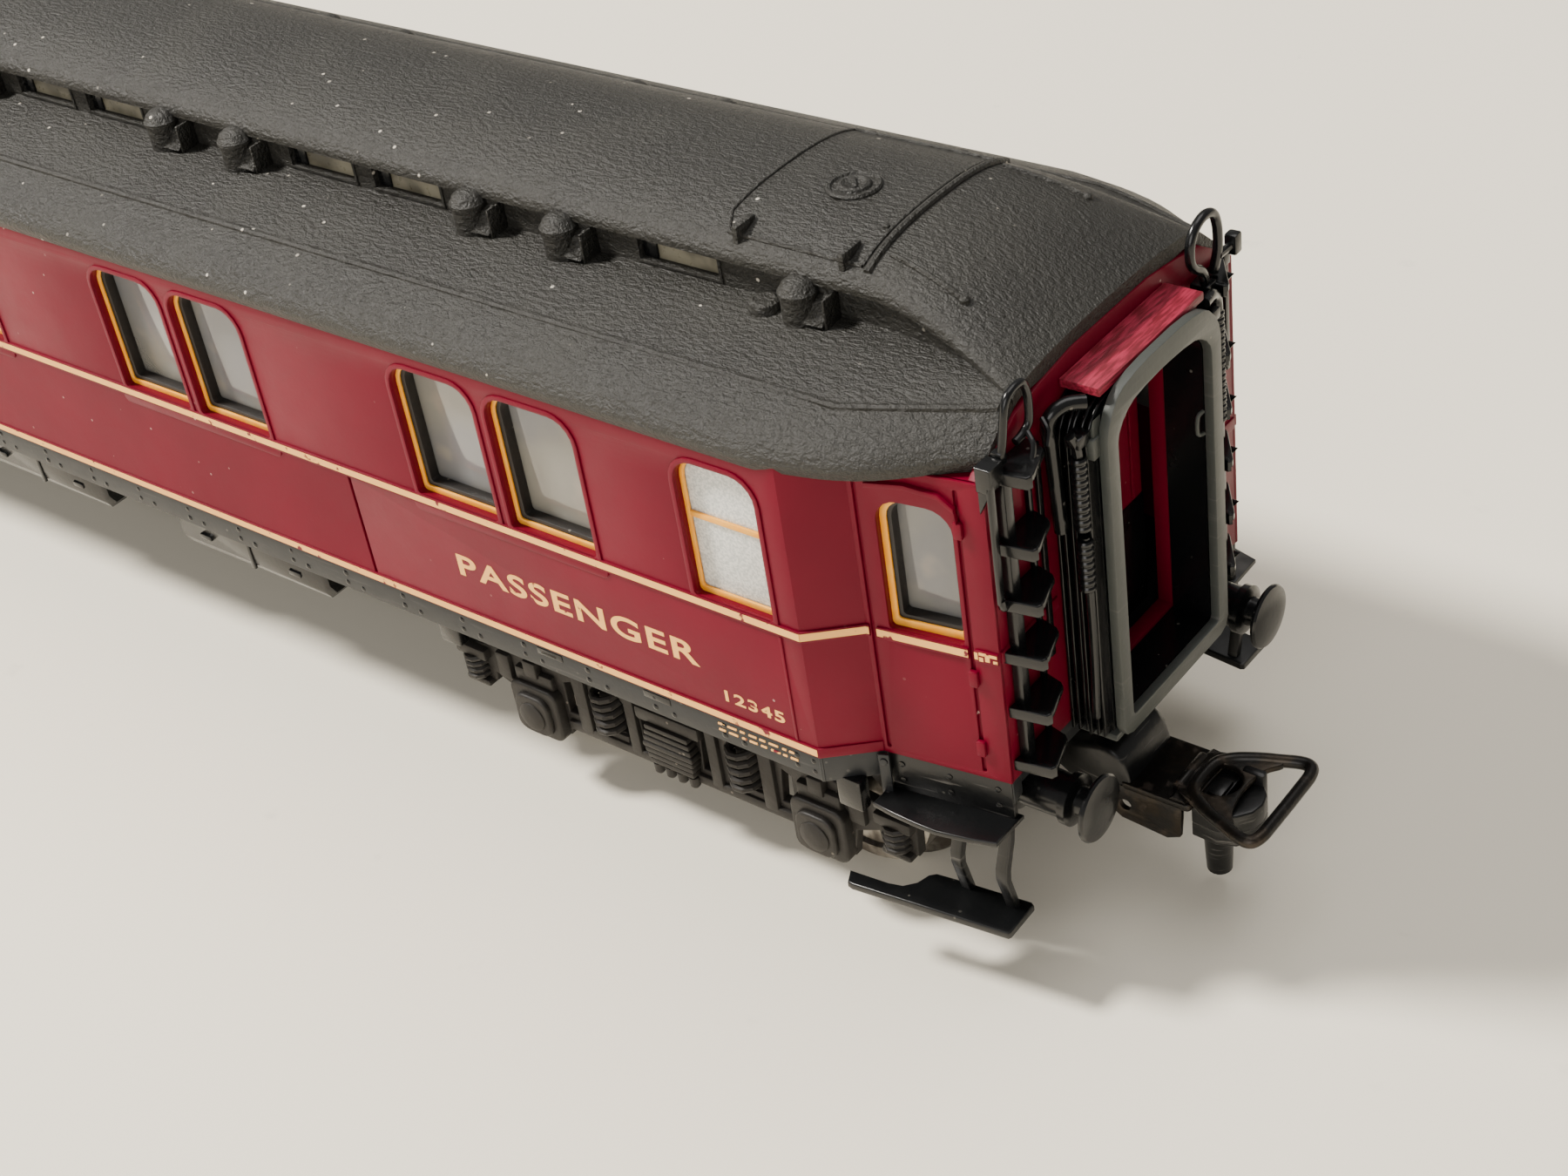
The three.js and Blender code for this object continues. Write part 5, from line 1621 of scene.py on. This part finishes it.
def coupler_loop():
    """The wire loop with the flat stamped ring that hinges it."""
    half = [(117.6, -1.0), (118.2, -2.0), (119.5, -2.8), (121.0, -3.4), (122.1, -3.8), (122.8, -3.75),
            (123.1, -3.1), (123.15, -1.8)]
    path = [(x, y, LOOP_HEIGHT) for x, y in half]
    path += [(x, -y, LOOP_HEIGHT) for x, y in reversed(half)]
    loop = wire(path, 0.42, coupler_metal(), 6, closed=True, sides=14)
    outer = [(116.5, -0.9), (117.0, -2.0), (118.2, -2.5), (119.9, -2.9), (121.0, -3.6), (121.3, -3.0),
             (120.6, -2.0),
             (120.3, 0.0), (120.6, 2.0), (121.3, 3.0), (121.0, 3.6), (119.9, 2.9), (118.2, 2.5), (117.0, 2.0),
             (116.5, 0.9)]
    inner = disc_outline(118.6, 0.0, 1.45, 28)
    stamped = plate([[(p.x, p.y) for p in smooth_path([(a, b, 0) for a, b in outer], 4, closed=True)], inner],
                    8.05, 8.5, 0.1, 2)
    hinge = moved(lathe([(0, -1.6), (0.32, -1.6), (0.36, -1.5), (0.36, 1.5), (0.32, 1.6), (0, 1.6)], 16),
                  at(116.7, 0, 8.3) @ Matrix.Rotation(math.pi / 2, 4, "X"))
    return merged([loop, stamped, hinge])


def build_couplers():
    at_ends("coupler_bar", coupler_shaft, scuffed_black(), "{end}_coupler", "coupler_shaft")
    at_ends("coupler_box", coupler_head, coupler_metal(), "{end}_coupler", "coupler_head")
    at_ends("coupler_hook", coupler_hook, scuffed_black(), "{end}_coupler")
    at_ends("coupler_wire_loop", coupler_loop, coupler_metal(), "{end}_coupler_loop",
            "coupler_loop")


# ---- Stage ---------------------------------------------------------------------------------------

def build_camera():
    data = bpy.data.cameras.new("coach_camera")
    data.lens, data.sensor_width, data.clip_start = 54.05, 36.0, 0.005
    camera = bpy.data.objects.new("coach_camera", data)
    forward = Vector((-0.5499, 0.5877, -0.5935)).normalized()
    up_hint = Vector((-0.2798, 0.54, 0.7938))
    right = forward.cross(up_hint).normalized()
    up = right.cross(forward)
    camera.matrix_world = at(0.172997, -0.093323,
                             0.105702) @ Matrix((right, up, -forward)).transposed().to_4x4()
    bpy.context.scene.collection.objects.link(camera)
    bpy.context.scene.camera = camera


def area_light(name, place, target, size, power, tint=(1, 1, 1)):
    data = bpy.data.lights.new(name, "AREA")
    data.shape, data.size, data.energy, data.color = "DISK", size, power, tint
    light = bpy.data.objects.new(name, data)
    aim = (Vector(target) - Vector(place)).to_track_quat("-Z", "Y")
    light.matrix_world = at(*place) @ aim.to_matrix().to_4x4()
    bpy.context.scene.collection.objects.link(light)


def build_stage():
    bm = bmesh.new()
    bmesh.ops.create_grid(bm, x_segments=8, y_segments=8, size=3.0)
    mesh = bpy.data.meshes.new("floor")
    bm.to_mesh(mesh)
    bm.free()
    mesh.materials.append(paper_floor())
    floor = bpy.data.objects.new("floor", mesh)
    bpy.context.scene.collection.objects.link(floor)
    power = bpy.context.scene.coach_sizes.light_power
    area_light("key", (-0.45, -0.3, 0.75), (0.05, 0, 0.02), 0.17, 19.0 * power, (1.0, 0.955, 0.89))
    area_light("fill", (0.35, -0.75, 0.45), (0.05, 0, 0.02), 0.6, 3.4 * power, (1.0, 0.97, 0.94))
    area_light("top", (0.1, 0.25, 0.9), (0.05, 0, 0.02), 0.7, 3.6 * power, (1.0, 0.97, 0.94))
    world = bpy.data.worlds.new("studio")
    world.use_nodes = True
    background = world.node_tree.nodes["Background"]
    background.inputs["Color"].default_value = (1.0, 0.965, 0.92, 1)
    background.inputs["Strength"].default_value = 0.32
    bpy.context.scene.world = world


# ---- The add-on: settings, operators and panel ---------------------------------------------------

class CoachSizes(bpy.types.PropertyGroup):
    """Sizes that a maker would change."""
    rail_height: bpy.props.FloatProperty(
        name="Waist Rail Height", description="How far the waist rail stands out from the side",
        default=0.15 * MM, min=0.0, max=0.5 * MM, precision=5, unit="LENGTH")
    line_width: bpy.props.FloatProperty(
        name="Line Width", description="Width of the printed cream lines",
        default=0.5 * MM, min=0.1 * MM, max=MM, precision=5, unit="LENGTH")
    rivet_radius: bpy.props.FloatProperty(
        name="Rivet Radius", description="Radius of the solebar's rivets",
        default=0.22 * MM, min=0.05 * MM, max=0.5 * MM, precision=5, unit="LENGTH")
    grain_depth: bpy.props.FloatProperty(
        name="Roof Grain Depth", description="Depth of the roof's crinkled grain",
        default=0.26 * MM, min=0.0, max=MM, precision=5, unit="LENGTH")
    pleat_count: bpy.props.IntProperty(
        name="Gangway Pleats", description="Number of folds in each gangway's bellows", default=6, min=2,
        max=12)
    light_power: bpy.props.FloatProperty(
        name="Light Power", description="Strength of the studio lights, as a factor", default=1.0, min=0.0,
        subtype="FACTOR", max=5.0)


def colour_property(name, description, code):
    return bpy.props.FloatVectorProperty(
        name=name, description=description, size=4, min=0.0, max=1.0, subtype="COLOR", default=rgb(code))


class CoachColours(bpy.types.PropertyGroup):
    """Paint and plastic colours."""
    body: colour_property("Body", "Colour of the body's paint", "6c0120")
    lines: colour_property("Lines", "Colour of the lines and the lettering", "f3b565")
    frames: colour_property("Window Frames", "Colour of the window frames", "f8a416")
    roof: colour_property("Roof", "Colour of the roof", "262521")
    chassis: colour_property("Chassis", "Colour of the underframe", "202224")
    fittings: colour_property("Fittings", "Colour of the black fittings", "0b0c0d")
    bogies: colour_property("Bogies", "Colour of the bogie frames", "24211e")


def operator(key, label, words, build):
    """An operator class that builds one group of pieces."""
    def execute(self, context):
        build()
        return {"FINISHED"}
    return type(f"COACH_OT_{key}", (bpy.types.Operator,), {
        "__doc__": words, "bl_idname": f"coach.{key}", "bl_label": label, "execute": execute})


OPERATORS = [
    operator("camera", "Camera", "Place the camera", build_camera),
    operator("body", "Body Shell", "Build the sides, doors, end walls, lines and lettering", build_body),
    operator("windows", "Windows", "Build the window frames and panes", build_windows),
    operator("roof", "Roof", "Build the roof, clerestory, ventilators and roof fittings", build_roof),
    operator("ends", "End Fittings", "Build gangways, ladders, rails, conduits, buffers and steps",
             build_ends),
    operator("underframe", "Underframe", "Build the solebars, rivets and equipment boxes", build_underframe),
    operator("interior", "Interior", "Finish the compartments and the ballast", build_interior),
    operator("bogies", "Bogies", "Build the bogie frames, wheelsets and pivot screws", build_bogies),
    operator("couplers", "Couplers", "Build the coupler shafts, heads and loops", build_couplers),
    operator("stage", "Stage", "Build the floor and the studio light", build_stage),
]


class COACH_PT_panel(bpy.types.Panel):
    """Lists the coach's settings and its groups of pieces."""
    bl_label = "Coach"
    bl_idname = "COACH_PT_panel"
    bl_space_type = "VIEW_3D"
    bl_region_type = "UI"
    bl_category = "Coach"

    def draw(self, context):
        for settings in (context.scene.coach_sizes, context.scene.coach_colours):
            box = self.layout.box()
            for label in settings.__annotations__:
                box.prop(settings, label)
        for made in OPERATORS:
            self.layout.operator(made.bl_idname)


CLASSES = [CoachSizes, CoachColours, *OPERATORS, COACH_PT_panel]


def register():
    for made in CLASSES:
        bpy.utils.register_class(made)
    bpy.types.Scene.coach_sizes = bpy.props.PointerProperty(type=CoachSizes)
    bpy.types.Scene.coach_colours = bpy.props.PointerProperty(type=CoachColours)


def unregister():
    del bpy.types.Scene.coach_sizes
    del bpy.types.Scene.coach_colours
    for made in reversed(CLASSES):
        bpy.utils.unregister_class(made)


def main():
    register()
    for made in OPERATORS:
        getattr(bpy.ops.coach, made.bl_idname.split(".")[1])()


if __name__ == "__main__":
    main()
